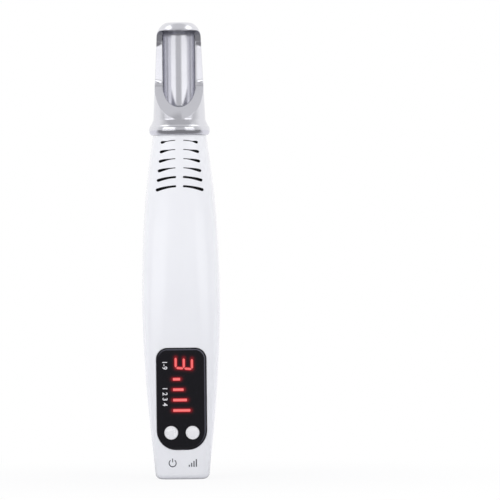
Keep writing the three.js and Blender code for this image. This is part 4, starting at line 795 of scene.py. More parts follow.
@dataclass
class DisplayFrame:
    """The display's own axes: X right, Y up the panel and Z straight out of it."""

    centre_height: float = 34.4
    panel_height: float = 43.5
    rounds: int = 6
    tilt: float = field(init=False)
    depth: float = field(init=False)

    def __post_init__(self) -> None:
        """Tilts the axes with the housing between the panel's ends."""
        ends = self.centre_height + np.array([-0.5, 0, 0.5]) * self.panel_height
        depths = BODY.sections(ends)[1]
        self.tilt = math.atan2(depths[2] - depths[0], self.panel_height)
        self.depth = float(depths[1])

    @property
    def turn(self) -> Pair:
        """Cosine and sine of the turn about X: a quarter and the tilt."""
        return math.cos(math.pi / 2 + self.tilt), math.sin(math.pi / 2 + self.tilt)

    def place(self, points: Array) -> Array:
        """Display coordinates to the pen's: a turn about X, then a move."""
        (cos, sin), (x, y, z) = self.turn, points.T
        return beside(x, y * cos - z * sin - self.depth, y * sin + z * cos + self.centre_height)

    def unplace(self, points: Array) -> Array:
        """The pen's coordinates to the display's.

        Args:
            points: Places in the pen's coordinates.

        Returns:
            The same places on the display's axes.
        """
        (cos, sin), (x, y, z) = self.turn, points.T
        y, z = y + self.depth, z - self.centre_height
        return beside(x, y * cos + z * sin, z * cos - y * sin)

    def surface(self, x: Array, y: Array, proud: float = 0) -> Array:
        """How far the housing's form, grown by a height, stands out at places on the display.

        The height is corrected by what is still missing to the form, which settles in a few rounds.

        Args:
            x: Places to the right.
            y: Places up the panel.
            proud: How far the form is grown.

        Returns:
            One height over the display's plane for each place.
        """
        height = np.zeros_like(x, float)
        for _ in range(self.rounds):
            at = self.place(beside(x, y, height))
            missing = BODY.depth_at(Side.FRONT, at[:, 0], at[:, 2], -proud) + at[:, 1]
            height = height + missing * math.cos(self.tilt)
        return height

    def height_at(self, x: float, y: float) -> float:
        """How far the housing's form stands out at one place."""
        return float(self.surface(np.array([x]), np.array([y]))[0])

    def drape(self, flat: Array, proud: float) -> Array:
        """Places on the display laid on the form grown by a height, in the pen's coordinates."""
        return self.place(over(flat, self.surface(flat[:, 0], flat[:, 1], proud)))


DISPLAY = DisplayFrame()


@dataclass(frozen=True)
class PanelOutline:
    """A rounded rectangle whose upper and lower corners have their own radii."""

    width: float = 21.29
    height: float = 43.5
    top_radius: float = 4.8
    bottom_radius: float = 8.2

    def grown(self, by: float) -> "PanelOutline":
        """The outline moved outwards by a distance.

        Args:
            by: The distance.

        Returns:
            The larger outline.
        """
        return PanelOutline(
            self.width + 2 * by, self.height + 2 * by, self.top_radius + by, self.bottom_radius + by
        )

    def grid(self, inset: float, columns: int, middle: int, corner: int) -> Array:
        """Points inside the outline, in rows up the panel and columns across each row.

        Rows are spread evenly by angle round the corners and by height between them. Each row runs
        over the width that the outline leaves there: half the width less r (1 - cos a) of a corner.

        Args:
            inset: How far inside the outline the edge runs.
            columns: Points in each row.
            middle: Rows between the corners.
            corner: Steps round a corner.

        Returns:
            Rows by columns by two.
        """
        half, end = self.width / 2 - inset, self.height / 2 - inset
        top, bottom = self.top_radius - inset, self.bottom_radius - inset
        angle = quarter(corner)
        low = -end + bottom * (1 - np.sin(angle[::-1]))
        high = end - top * (1 - np.sin(angle))
        height = np.concatenate([low, np.linspace(low[-1], high[0], middle + 2)[1:-1], high])
        narrower = [bottom * (1 - np.cos(angle[::-1])), np.zeros(middle), top * (1 - np.cos(angle))]
        width = half - np.concatenate(narrower)
        return beside(width[:, None] * np.linspace(-1, 1, columns), height[:, None])

    def depth_of(self, flat: Array) -> Array:
        """How far each place lies inside the outline, and the outline's outward direction there.

        The distance is that to a rounded box: the place is folded into one quarter, and past the
        corner's centre it is the radius less the length to that centre.

        Args:
            flat: Places on the display.

        Returns:
            One row per place: the depth, then the direction's two parts.
        """
        radius = np.where(flat[:, 1] > 0, self.top_radius, self.bottom_radius)
        past = np.abs(flat) - np.array([self.width, self.height]) / 2 + radius[:, None]
        outside, most = np.maximum(past, 0), past.max(1)
        inside = radius - np.linalg.norm(outside, axis=1) - np.minimum(most, 0)
        way = np.where((most > 0)[:, None], outside, past >= most[:, None]) * np.sign(flat)
        return np.column_stack([inside, unit(way)])


def border(rows: int, columns: int) -> Array:
    """Point numbers round the edge of a grid, anticlockwise from its first corner."""
    grid = np.arange(rows * columns).reshape(rows, columns)
    return np.concatenate([grid[0, :-1], grid[:-1, -1], grid[-1, :0:-1], grid[:0:-1, 0]])


def panel_plate(
    outline: PanelOutline, layers: Sequence[Pair], columns: int, middle: int, corner: int
) -> Solid:
    """A plate on the housing's form: a grid at each end, and a ring of wall for each layer.

    Args:
        outline: The plate's outline.
        layers: Inset and height over the housing's form, from the upper face down to the lower.
        columns: Points across.
        middle: Rows between the corners.
        corner: Steps round a corner.

    Returns:
        The closed plate in the pen's coordinates.
    """
    rows = middle + 2 * (corner + 1)
    size, edge = rows * columns, border(rows, columns)
    sheets = [
        DISPLAY.drape(outline.grid(inset, columns, middle, corner).reshape(-1, 2), proud)
        for inset, proud in layers
    ]
    quads = np.array(grid_quads(rows, columns, around=False))
    points = np.vstack([sheets[0], sheets[-1], *[sheet[edge] for sheet in sheets[1:-1]]])
    loops = [edge, *[2 * size + i * len(edge) + np.arange(len(edge)) for i in range(len(layers) - 2)]]
    loops.append(size + edge)
    walls = [beside(a, np.roll(a, -1), np.roll(b, -1), b) for a, b in zip(loops[:-1], loops[1:])]
    return Solid(points, np.vstack([quads, quads[:, ::-1] + size, *walls]).tolist())


@dataclass
class Housing:
    """The two white shells: a fine outer skin over the solid model's walls, bosses and posts."""

    skin: float = 0.8
    sides: int = 288
    levels: int = 130
    seam: float = 0.15
    neck_bore: float = 7.6
    inlet_bore: float = 4.1
    inlet_chamfer: float = 0.4
    counterbore: float = 1.8
    counterbore_floor: float = 3.9
    recess_gap: float = 0.15
    seal_depths: Pair = (0.55, 1.7)
    seal_span: Pair = (3.0, 144.0)
    # Where the black gauze of painted shade stands behind the vents.
    gauze_inset: float = 2.04
    gauze_wall: float = 0.3
    gauze_span: Pair = (119.0, 144.6)
    vent_rows: int = 6
    vent_pitch: float = 3.92
    vent_top: float = 144.55
    vent_curve: float = 30.0
    vent_ends: Pair = (7.35, 9.55)
    vent_inner: float = 1.85
    vent_steps: int = 28
    # Height at the inner end, height at the outer end, and the share of the length where it starts to grow.
    vent_shape: tuple[tuple[float, float, float], ...] = (
        (0.3, 1.1, 0.62),
        (0.3, 1.15, 0.3),
        (0.32, 1.15, 0.15),
        (0.34, 1.2, 0.1),
        (0.85, 1.2, 0.2),
        (0.85, 1.25, 0.2),
    )
    # How far out of the form each ring of a slot stands, and how much wider it is there.
    vent_layers: tuple[Pair, ...] = ((-3.2, 0.0), (-0.25, 0.0), (-0.05, 0.04), (0.12, 0.2), (1.0, 0.3))
    outline: PanelOutline = field(default_factory=PanelOutline)

    def form(self, inset: float, top: float) -> Solid:
        """The body's form as rings, close together round the base fillet.

        Args:
            inset: How far inside the outer form.
            top: Height of the last ring.

        Returns:
            The closed form.
        """
        fillet = BODY.base_fillet
        low = fillet * (1 - np.sin(quarter(10)))[::-1]
        heights = np.concatenate([low, np.linspace(fillet, top, self.levels)[1:]])
        return Solid.loft([BODY.ring(h, inset, self.sides) for h in heights])

    def vent(self, row: int, hand: int, side: Side) -> Solid:
        """A slot that follows an arc and grows from a thin inner end to a tall outer one.

        Its outline is the arc (R sin a, R cos a - R) with the half height laid off to either side, and
        closed by round ends. It is carried through the wall along Y, a little wider where it opens.

        Args:
            row: Number of the slot, from the top.
            hand: 1 for the right and -1 for the left.
            side: The half that it is cut in.

        Returns:
            The tool that cuts it.
        """
        share = row / (self.vent_rows - 1)
        outer = self.vent_ends[0] + share * (self.vent_ends[1] - self.vent_ends[0])
        start, stop = (math.asin(x / self.vent_curve) for x in (self.vent_inner, outer))
        angle = np.linspace(start, stop, self.vent_steps)
        near, far, begin = self.vent_shape[row]
        grown = np.clip((np.linspace(0, 1, self.vent_steps) - begin) / (1 - begin), 0, 1)
        rise = (near + (far - near) * ease(grown)) / 2
        out = beside(np.sin(angle), np.cos(angle))
        centre = (out - [0, 1]) * self.vent_curve
        turn = np.linspace(0, math.pi, 9)[1:-1, None]

        def loop(grow: float) -> Array:
            """The outline with its half height grown.

            Args:
                grow: What is added to the half height.

            Returns:
                One row per point.
            """
            half = (rise + grow)[:, None]
            caps = []
            for index, sign in ((-1, 1), (0, -1)):
                along = np.array([out[index, 1], -out[index, 0]])
                fan = (np.cos(turn) * out[index] + np.sin(turn) * along) * sign
                caps.append(centre[index] + fan * half[index])
            return np.vstack([centre + out * half, caps[0], (centre - out * half)[::-1], caps[1]])

        rings = []
        for depth, grow in self.vent_layers:
            x, height = (loop(grow) + [0, self.vent_top - self.vent_pitch * row]).T
            rings.append(beside(x * hand, side.value * (BODY.depth_at(side, x, height) + depth), height))
        return Solid.loft(rings)

    def vents(self, side: Side) -> Solid:
        """All the slots of one side."""
        rows, hands = range(self.vent_rows), (-1, 1)
        return Solid.together([self.vent(row, hand, side) for row in rows for hand in hands])

    def shell(self, node: str, side: Side, *tools: Solid) -> None:
        """One shell: skin joined with the solid model's own shell, then cut by fine tools.

        Args:
            node: The solid model's shell.
            side: The half of the pen that it fills.
            tools: What is cut from it.
        """
        piece = as_object(node + "_shell", self.form(-LIFT, BODY.length))
        carve(piece, Carve.CUT, self.form(self.skin, BODY.length - self.skin))
        near, far = sorted((side.value * self.seam / 2, side.value * 40.0))
        carve(piece, Carve.KEEP, Solid.block((-40, near, -5), (40, far, 200)))
        carve(piece, Carve.CUT, Solid.rod(self.neck_bore, 140, 160, 128), *tools)
        carve(piece, Carve.ADD, copy_of(node))
        wide, slope = self.inlet_bore, self.inlet_chamfer
        mouth = Solid.turned([(wide + slope, -slope / 2), (wide, slope / 2), (wide, 0.5)], 96)
        carve(piece, Carve.CUT, Solid.rod(wide, -3.0, 2.1, 96), mouth, *tools)
        shade(piece, on_body(-LIFT))
        fit(piece, GLOSS_WHITE, "white_gloss_abs", node)

    def gauze(self) -> None:
        """A black gauze behind the vents as painted shade inside: a sleeve between two inset forms."""
        heights, outer = np.linspace(*self.gauze_span, 24), self.gauze_inset
        rings = [BODY.ring(h, outer, 128) for h in heights]
        rings += [BODY.ring(h, outer + self.gauze_wall, 128) for h in heights[::-1]]
        piece = as_object("vent_shade_gauze", Solid.loft(rings, closed=True))
        shade(piece)
        fit(piece, SHADE_GAUZE, "black_sleeve")

    def seal(self) -> None:
        """A dark seal in each side's seam: an oblong section carried up just inside the skin."""
        heights = np.linspace(*self.seal_span, 90)
        edge, wide = BODY.sections(heights)[0], self.seam / 2 - 0.01
        strips = []
        for hand in (-1, 1):
            outer, inner = (hand * (edge - depth) for depth in self.seal_depths)
            section = ((outer, wide), (inner, wide), (inner, -wide), (outer, -wide))
            strips.append(Solid.loft(np.stack([beside(x, y, heights) for x, y in section], 1)))
        piece = as_object("seam_seal", Solid.together(strips))
        shade(piece)
        fit(piece, MATT_BLACK, "black_plastic")

    def build(self) -> None:
        """Makes both shells and what lines them."""
        self.gauze()
        self.seal()
        recess = panel_plate(self.outline.grown(self.recess_gap), [(0, 4), (0, 1), (0, -1)], 24, 30, 10)
        self.shell("front_housing", Side.FRONT, self.vents(Side.FRONT), recess)
        hole = Solid.rod(self.counterbore, self.counterbore_floor, 30.0, 64)
        holes = Solid.together([hole.on_back(x, z) for x, z in screw_places()])
        self.shell("rear_housing", Side.BACK, self.vents(Side.BACK), Trigger().well(), holes)


def screw_places() -> list[Pair]:
    """Where the housing screws stand, from their nodes: X and height."""
    boxes = (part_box(f"housing_screw_{i}") for i in range(1, 5))
    middles = ((low + high) / 2 / MM for low, high in boxes)
    return [(middle.x, middle.z) for middle in middles]


@dataclass
class FocusHead:
    """The plated head: a tapered tube whose front is cut away in a window below a closed rim."""

    foot: float = 146.85
    tip: float = 195.0
    foot_radius: float = 11.65
    collar_radius: float = 12.98
    collar_height: float = 2.15
    bead: Pair = (1.25, 2.2)
    bead_edge: float = 12.25
    flare_height: float = 6.4
    flare_top: float = 153.75
    # Where the flare's two inner control points stand from its ends, as radius and height.
    flare_pull: tuple[Pair, Pair] = ((-0.37, 0.8), (0.02, -0.4))
    root_radius: float = 11.15
    tip_radius: float = 9.4
    round_in: float = 4.2
    round_down: float = 5.2
    round_power: float = 1.6
    bore: float = 7.0
    opening: float = 4.6
    rim: float = 3.5
    rim_edge: float = 0.35
    fillet: float = 4.7
    crease_down: float = 26.8
    crease_radius: float = 3.0
    crown: Pair = (0.13, 0.055)
    crown_start: float = 0.2
    crown_most: float = 5.5
    crown_rise: float = 1.6
    foot_down: float = 41.6
    neck_top: float = 152.8
    socket_radius: float = 9.7
    socket_bead: float = 149.9

    def outside(self) -> Array:
        """The outer profile as radius and height: a skirt, a bead, a flare, a taper and a domed shoulder.

        The bead is an elliptical arc up to its edge, where a cubic Bezier curve takes over as the
        flare. The shoulder is a quarter of a superellipse: its radius and height follow the cosine and
        the sine raised to 2 / round_power.

        Returns:
            One row per point, from the foot to the tip.
        """
        turn, wide = quarter(12), self.collar_radius
        collar = self.foot + self.collar_height
        bulge = wide - self.foot_radius
        skirt = beside(self.foot_radius + bulge * np.sin(turn), collar - self.collar_height * np.cos(turn))
        out, rise = self.bead
        turn = np.linspace(0, math.acos(1 - (wide - self.bead_edge) / out), 16)[1:]
        bead = beside(wide - out * (1 - np.cos(turn)), collar + rise * np.sin(turn))
        top, root = self.tip - self.round_down, self.foot + self.flare_height
        meet = np.interp(self.flare_top, [root, top], [self.root_radius, self.tip_radius])
        start, stop = bead[-1], np.array([meet, self.flare_top])
        leave, arrive = start + self.flare_pull[0], stop + self.flare_pull[1]
        t = np.linspace(0, 1, 24)[1:, None]
        left = 1 - t
        flare = left**3 * start + 3 * left**2 * t * leave + 3 * left * t**2 * arrive + t**3 * stop
        straight = np.linspace(stop, [self.tip_radius, top], 40)[1:-1]
        turn, soft = quarter(24), 2 / self.round_power
        shoulder = beside(
            self.tip_radius - self.round_in * (1 - np.cos(turn) ** soft),
            top + self.round_down * np.sin(turn) ** soft,
        )
        return np.vstack([skirt, bead, flare, straight, shoulder])

    def inside(self) -> Solid:
        """The bore: straight, then drawn in by a lip to the opening, which has a small chamfer.

        Returns:
            The tool that cuts it.
        """
        turn, under, down = quarter(12), self.tip - self.rim, self.rim / 2
        narrow = self.bore - self.opening
        lip = beside(self.bore - narrow * (1 - np.cos(turn)), under - down + down * np.sin(turn))
        wide = self.opening + self.rim_edge
        mouth = [(self.opening, self.tip - self.rim_edge), (wide, self.tip), (wide, self.tip + 3)]
        return Solid.turned([(self.bore, self.neck_top), *lip, *mouth], 192)

    def socket(self) -> Solid:
        """The room for the housing's neck and its bead.

        Returns:
            The tool that cuts it.
        """
        radius, bead = self.socket_radius, self.socket_bead
        groove = [(radius, bead - 0.5), (radius + 0.25, bead), (radius, bead + 0.5)]
        return Solid.turned([(radius, 140), *groove, (radius, 153.1)], 128)

    def window_path(self) -> Array:
        """The window's side view as Y and height, from the slope's foot to under the rim.

        The slope meets the upright through an arc of crease_radius, and the upright meets the rim
        through one of fillet.

        Returns:
            One row per point.
        """
        top, crease = self.tip - self.rim, self.tip - self.crease_down
        slope = (self.foot_down - self.crease_down) / self.root_radius
        reach = self.collar_radius + 4
        lean = math.pi / 2 - math.atan(slope)
        start = self.crease_radius * math.tan(lean / 2)
        low, turn = np.linspace(-lean, 0, 13), quarter(20)
        toe = self.crease_radius * beside(np.cos(low) - 1, np.sin(low)) + [0, crease + start]
        bend = self.fillet * beside(np.cos(turn) - 1, np.sin(turn) - 1) + [0, top]
        ends = (1 - np.cos(np.linspace(0, math.pi, 24)[1:-1])) / 2
        upright = beside(0, toe[-1, 1] + ends * (bend[0, 1] - toe[-1, 1]))
        return np.vstack([[-reach, crease - slope * reach], toe, upright, bend, [-reach, top]])

    def window(self) -> Solid:
        """The window's side view carried across the head, so that it leaves crowned rails.

        Past the bore the cut falls back by a d + b d^2 with the distance d. That grows from nothing
        at the crease to its full share a little higher, and fades again towards the rim.

        Returns:
            The tool that cuts it.
        """
        y, height = self.window_path().T
        low, high = self.tip - self.crease_down + 0.5, self.tip - self.rim - self.fillet
        share = ease(np.clip(np.minimum(height - low, high - height) / self.crown_rise, 0, 1))
        # Two sections within the bore, many over the rails, and one beyond the head.
        half = np.concatenate([[0.5, 6.6], np.linspace(6.8, 12.5, 26), [20.0]])
        rings = []
        for x in np.concatenate([-half[::-1], half]):
            past = min(max(abs(x) - self.bore + self.crown_start, 0), self.crown_most)
            back = self.crown[0] * past + self.crown[1] * past**2
            rings.append(beside(x, y + back * share, height))
        return Solid.loft(rings)

    def rule(self, points: Array, faces: Array) -> tuple[Array, Array]:
        """True normals of the outer surface, the bore and the flat faces.

        On the outer surface the normal is the profile's, turned to the point's angle. On the bore it
        points at the axis. A flat face keeps its own.

        Args:
            points: Places in millimetres.
            faces: Face normals there.

        Returns:
            The true normals, and where they hold.
        """
        profile = self.outside()
        run = np.gradient(profile, axis=0)
        lean = unit(beside(run[:, 1], -run[:, 0]))
        radius, level = np.hypot(points[:, 0], points[:, 1]), points[:, 2]
        spoke = points[:, :2] / np.maximum(radius, TINY)[:, None]
        form, out, up = (np.interp(level, profile[:, 1], v) for v in (profile[:, 0], *lean.T))
        outer = unit(over(spoke * out[:, None], up))
        inner = over(-spoke, 0)
        on_outer = (np.abs(radius - form) < 0.05) & ((outer * faces).sum(1) > 0.93)
        on_inner = (np.abs(radius - self.bore) < 0.03) & ((inner * faces).sum(1) > 0.97)
        path = self.window_path()
        flat = (np.abs(faces[:, 0]) < 1e-3) & ((np.abs(level - path[-1, 1]) < 0.01) | (level < path[1, 1]))
        true = np.where(on_outer[:, None], outer, np.where(on_inner[:, None], inner, faces))
        return true, on_outer | on_inner | flat

    def build(self) -> None:
        """Makes the head."""
        piece = as_object("focus_head_shell", Solid.turned(self.outside(), 256))
        carve(piece, Carve.CUT, self.inside(), self.socket(), self.window())
        shade(piece, self.rule, math.radians(28))
        fit(piece, CHROME, "satin_chrome_plating", "focus_head")


Line = tuple[Array, Array]


@dataclass
class Readout:
    """The lit digit and level bars, which read down the pen."""

    tall: float = 8.0
    wide: float = 5.0
    stroke: float = 1.1
    # How far the three strokes start beyond the digit's foot, and the half width of a pointed end.
    overhang: float = 0.1
    point: float = 0.012
    gap: float = 0.18
    right: float = 1.1
    up: float = 15.0
    slant: float = math.tan(math.radians(5))
    bar_thickness: float = 1.3
    bar_pitch: float = 4.45
    bar_left: float = 3.6
    bar_first: float = 3.1
    bar_step: float = 1.4
    bar_count: int = 4
    bar_top: float = 8.5
    bar_corner: float = 0.25
    proud: float = 0.35
    edge: float = 0.05
    # Heights over the panel of a stroke's top, the edge of its top and its foot.
    rises: tuple[float, float, float] = (0.04, 0.02, -0.12)

    def on_panel(self, along: float, up: float) -> Array:
        """A place in the digit, which is turned a quarter so that its own up is the panel's right."""
        return beside(self.right + up, self.up - along - up * self.slant)

    def segments(self) -> list[Line]:
        """Both ends of each lit segment's middle line, on the panel: three strokes and two on one side.

        Returns:
            The start and end of each line.
        """
        wide, step = (self.wide - self.stroke) / 2, (self.tall - self.stroke) / 2
        lines = [((-self.wide / 2 - self.overhang, y), (wide, y)) for y in (-step, 0, step)]
        lines += [((wide, -step), (wide, 0)), ((wide, 0), (wide, step))]
        made = []
        for start, stop in lines:
            a, b = self.on_panel(*start), self.on_panel(*stop)
            trim = unit(b - a) * self.gap
            made.append((a + trim, b - trim))
        return made

    def bars(self) -> list[Line]:
        """Both ends of each level bar's middle line.

        Returns:
            The start and end of each line, from the top down.
        """
        made = []
        for i in range(self.bar_count):
            height = self.bar_top - self.bar_pitch * i
            stop = self.bar_first + self.bar_step * i - self.bar_left
            made.append((np.array([-self.bar_left, height]), np.array([stop, height])))
        return made

    def stroke_solid(self, start: Array, stop: Array, thickness: float, pointed: bool) -> Solid:
        """A low bar that follows the panel, as a grid with a wall down to just under its surface.

        Along the bar the half width is min(1, distance to the nearer end / half thickness) of the full
        one where the ends are pointed, and follows a small corner's circle where they are square.

        Args:
            start: One end of its middle line.
            stop: The other end.
            thickness: Its full width.
            pointed: Whether its ends are points.

        Returns:
            The closed bar in the pen's coordinates.
        """
        run, length = unit(stop - start), float(np.linalg.norm(stop - start))
        across = np.array([-run[1], run[0]])
        half, rows, columns = thickness / 2, 9, 41
        along = np.linspace(0, length, columns)
        ends = np.minimum(along, length - along)
        if pointed:
            taper = np.minimum(ends / half, 1)
        else:
            near = np.clip(self.bar_corner - ends, 0, self.bar_corner)
            taper = 1 - (self.bar_corner - np.sqrt(self.bar_corner**2 - near**2)) / half

        def level(inset: float, rise: float) -> Array:
            """The bar's grid, inset and laid at a height over the panel.

            Args:
                inset: How far inside the bar's edge.
                rise: Height over the panel.

            Returns:
                One row per point of the grid.
            """
            width = np.maximum(half * taper - inset, self.point)
            place = start + run * np.clip(along, inset, length - inset)[:, None]
            share = np.linspace(1, -1, rows)[:, None, None]
            return DISPLAY.drape((place + across * width[:, None] * share).reshape(-1, 2), self.proud + rise)

        outline = border(rows, columns)
        top = level(self.edge, self.rises[0])
        loops = [level(0, rise)[outline] for rise in self.rises[1:]]
        size, count = len(top), len(outline)
        points = np.vstack([top, *loops, loops[-1].mean(0)])
        upper, lower = size + np.arange(count), size + count + np.arange(count)
        faces = grid_quads(rows, columns, around=False)
        for a, b in ((outline, upper), (upper, lower)):
            faces += beside(a, b, np.roll(b, -1), np.roll(a, -1)).tolist()
        return Solid(points, faces + beside(len(points) - 1, np.roll(lower, -1), lower).tolist())

    def distance(self, flat: Array, lines: Sequence[Line], half: float) -> Array:
        """Distance on the panel from each place to the nearest lit stroke's edge.

        Args:
            flat: Places on the display.
            lines: Both ends of each stroke's middle line.
            half: Half a stroke's thickness.

        Returns:
            One distance for each place, which is 0 on a stroke.
        """
        best = np.full(len(flat), 1e6)
        for start, stop in lines:
            run = stop - start
            share = np.clip(((flat - start) @ run) / (run @ run), 0, 1)
            best = np.minimum(best, np.linalg.norm(flat - start - share[:, None] * run, axis=1))
        return np.maximum(best - half, 0)

    def light(self, name: str, lines: Sequence[Line], thickness: float, node: str) -> None:
        """Makes one set of lit strokes, paler along their middle lines. The digit's have pointed ends.

        Args:
            name: The piece's name.
            lines: Both ends of each stroke's middle line.
            thickness: A stroke's full width.
            node: The node that it stands for.
        """
        pointed = thickness == self.stroke
        strokes = [self.stroke_solid(a, b, thickness, pointed) for a, b in lines]
        piece = as_object(name, Solid.together(strokes))
        flat = DISPLAY.unplace(places(piece))[:, :2]
        off = self.distance(flat, lines, 0.0) / (thickness / 2)
        paint(piece, "core", (0.85 if pointed else 1.0) * np.clip(1.1 - off**1.3, 0, 1))
        shade(piece)
        fit(piece, LIT_RED, "red_light_guide", node)

    def build(self) -> None:
        """Makes the digit and the bars."""
        self.light("lit_digit", self.segments(), self.stroke, "digit_light_guide")
        self.light("lit_level_bars", self.bars(), self.bar_thickness, "level_light_guide")


@dataclass
class DisplayPanel:
    """The curved black plate, with a painted glow of what is lit behind it and a painted frame highlight."""

    outline: PanelOutline = field(default_factory=PanelOutline)
    proud: float = 0.35
    sunk: float = 0.9
    edge: float = 0.3
    frame: float = 0.62
    frame_line: float = 0.2
    # How far from its middle the painted highlight on the frame line reaches.
    frame_reach: float = 0.13
    step: float = 0.05
    hole: float = 3.05
    # How fast the painted glow fades away from the lit strokes.
    halo: float = 0.34
    inner_face: float = -3.5

    def build(self, readout: Readout, buttons: "FrontButtons") -> None:
        """Makes the plate with its rounded rim and button holes.

        The painted glow falls off as exp(-distance / halo). The painted highlight on the frame line is
        brightest at the upper right.

        Args:
            readout: The strokes that are lit.
            buttons: The keys that need holes.
        """
        edge, proud = self.edge, self.proud
        rim = [(edge * (1 - math.sin(a)), proud - edge * (1 - math.cos(a))) for a in quarter(5)]
        inner = [(self.frame + self.frame_line, proud - self.step), (self.frame, proud)]
        layers = [*inner, *rim, (0.0, -self.sunk / 2), (0.0, -self.sunk)]
        piece = as_object("display_panel_plate", panel_plate(self.outline, layers, 84, 130, 14))
        hole = Solid.rod(self.hole, -8.0, 4.0, 96)
        carve(piece, Carve.CUT, Solid.together([hole.on_display(x, y) for x, y in buttons.places]))
        shade(piece, on_body(-self.proud, 0.02))
        flat = DISPLAY.unplace(places(piece))
        digit = readout.distance(flat[:, :2], readout.segments(), readout.stroke / 2)
        bars = readout.distance(flat[:, :2], readout.bars(), readout.bar_thickness / 2)
        # Painted glow about the lit strokes, on the panel's front only.
        light = np.exp(-digit / self.halo) + np.exp(-bars / self.halo)
        paint(piece, "glow", np.where(flat[:, 2] < self.inner_face, 0, np.clip(light, 0, 1)))
        # Painted highlight on the frame line, brightest at the upper right.
        inset, right, up = self.outline.depth_of(flat[:, :2]).T
        lean = np.clip(0.3 + 0.7 * (0.6 * right + 0.8 * up), 0, 1)
        painted_highlight_band = np.abs(inset - self.frame - self.frame_line / 2) < self.frame_reach
        paint(piece, "edge_light", np.where(painted_highlight_band, lean, 0.0))
        fit(piece, PANEL_BLACK, "black_gloss_panel", "display_panel")


@dataclass
class FrontButtons:
    """Two round silver keys with a raised rim about a low dome, and an engraved sign."""

    radius: float = 2.85
    right: float = 4.55
    down: float = 14.4
    proud: float = 0.8
    rim: float = 0.5
    rim_round: float = 0.12
    edge: float = 0.22
    groove: float = 0.22
    valley: float = 0.1
    flange: float = 0.65
    flange_thickness: float = 0.6
    flange_down: float = 1.2
    stem: float = 1.2
    # The display module's upper corner, its top's depth under the housing, and the switches' under that.
    module_corner: Pair = (6.8, 20.0)
    module_down: float = 1.1
    switch_down: float = 2.8
    sign_depth: float = 0.12
    ring: Pair = (0.95, 1.12)
    # Half length and half width of the right key's lines, and how far apart they are.
    lines: tuple[float, float, float] = (0.9, 0.09, 0.5)

    @property
    def places(self) -> list[Pair]:
        """Where the keys stand on the display."""
        return [(-self.right, -self.down), (self.right, -self.down)]

    def profile(self) -> list[Pair]:
        """The key's profile, from the foot of its stem to the top of its dome.

        The stem ends halfway between the flange and the switch, whose plunger fills the rest.

        Returns:
            Radius and height of each point.
        """
        top = DISPLAY.height_at(self.right, -self.down) + self.proud
        wide = self.radius + self.flange
        seat = DISPLAY.height_at(self.right + wide, -self.down) - self.flange_down
        low = seat - self.flange_thickness
        foot = (low + DISPLAY.height_at(*self.module_corner) - self.module_down - self.switch_down) / 2
        inner, small, valley = self.radius - self.rim, self.rim_round, top - self.groove
        turn, edge = quarter(6), self.edge
        outer = [(self.radius - edge * (1 - math.cos(a)), top - edge * (1 - math.sin(a))) for a in turn]
        rim_in = [(inner + small * math.cos(a), top - small * (1 - math.sin(a))) for a in turn[::-1]]
        dome_radius = inner - 2 * self.valley
        dome = [
            (dome_radius * math.cos(a), valley + (self.groove + 0.02) * math.sin(a))
            for a in np.linspace(0, math.pi / 2, 14)[:-1]
        ]
        stem = [(self.stem, foot), (self.stem, low), (wide, low), (wide, seat), (self.radius, seat)]
        bottom = [(inner, valley), (inner - self.valley, valley - 0.03)]
        return [*stem, *outer, *rim_in, *bottom, *dome, (0.02, dome[-1][1])]

    def build(self) -> None:
        """Makes both keys, each with a generic engraved sign: a ring, and three lines."""
        profile = self.profile()
        top = max(height for _, height in profile)
        low, high, (near, far), (long, wide, pitch) = top - self.sign_depth, top + 1, self.ring, self.lines
        ring = Solid.turned([(near, low), (far, low), (far, high), (near, high)], 64, closed=True)
        lines = [Solid.block((-long, y - wide, low), (long, y + wide, high)) for y in (-pitch, 0.0, pitch)]
        signs = (ring, Solid.together(lines))
        for (x, y), name, body, sign in zip(self.places, ("left", "right"), (Body.LEFT, Body.RIGHT), signs):
            piece = as_object(f"{name}_key", Solid.turned(profile, 96).on_display(x, y))
            carve(piece, Carve.CUT, sign.on_display(x, y))
            shade(piece)
            fit(piece, KEY_SILVER, "silver_key", f"{name}_button", body=body)


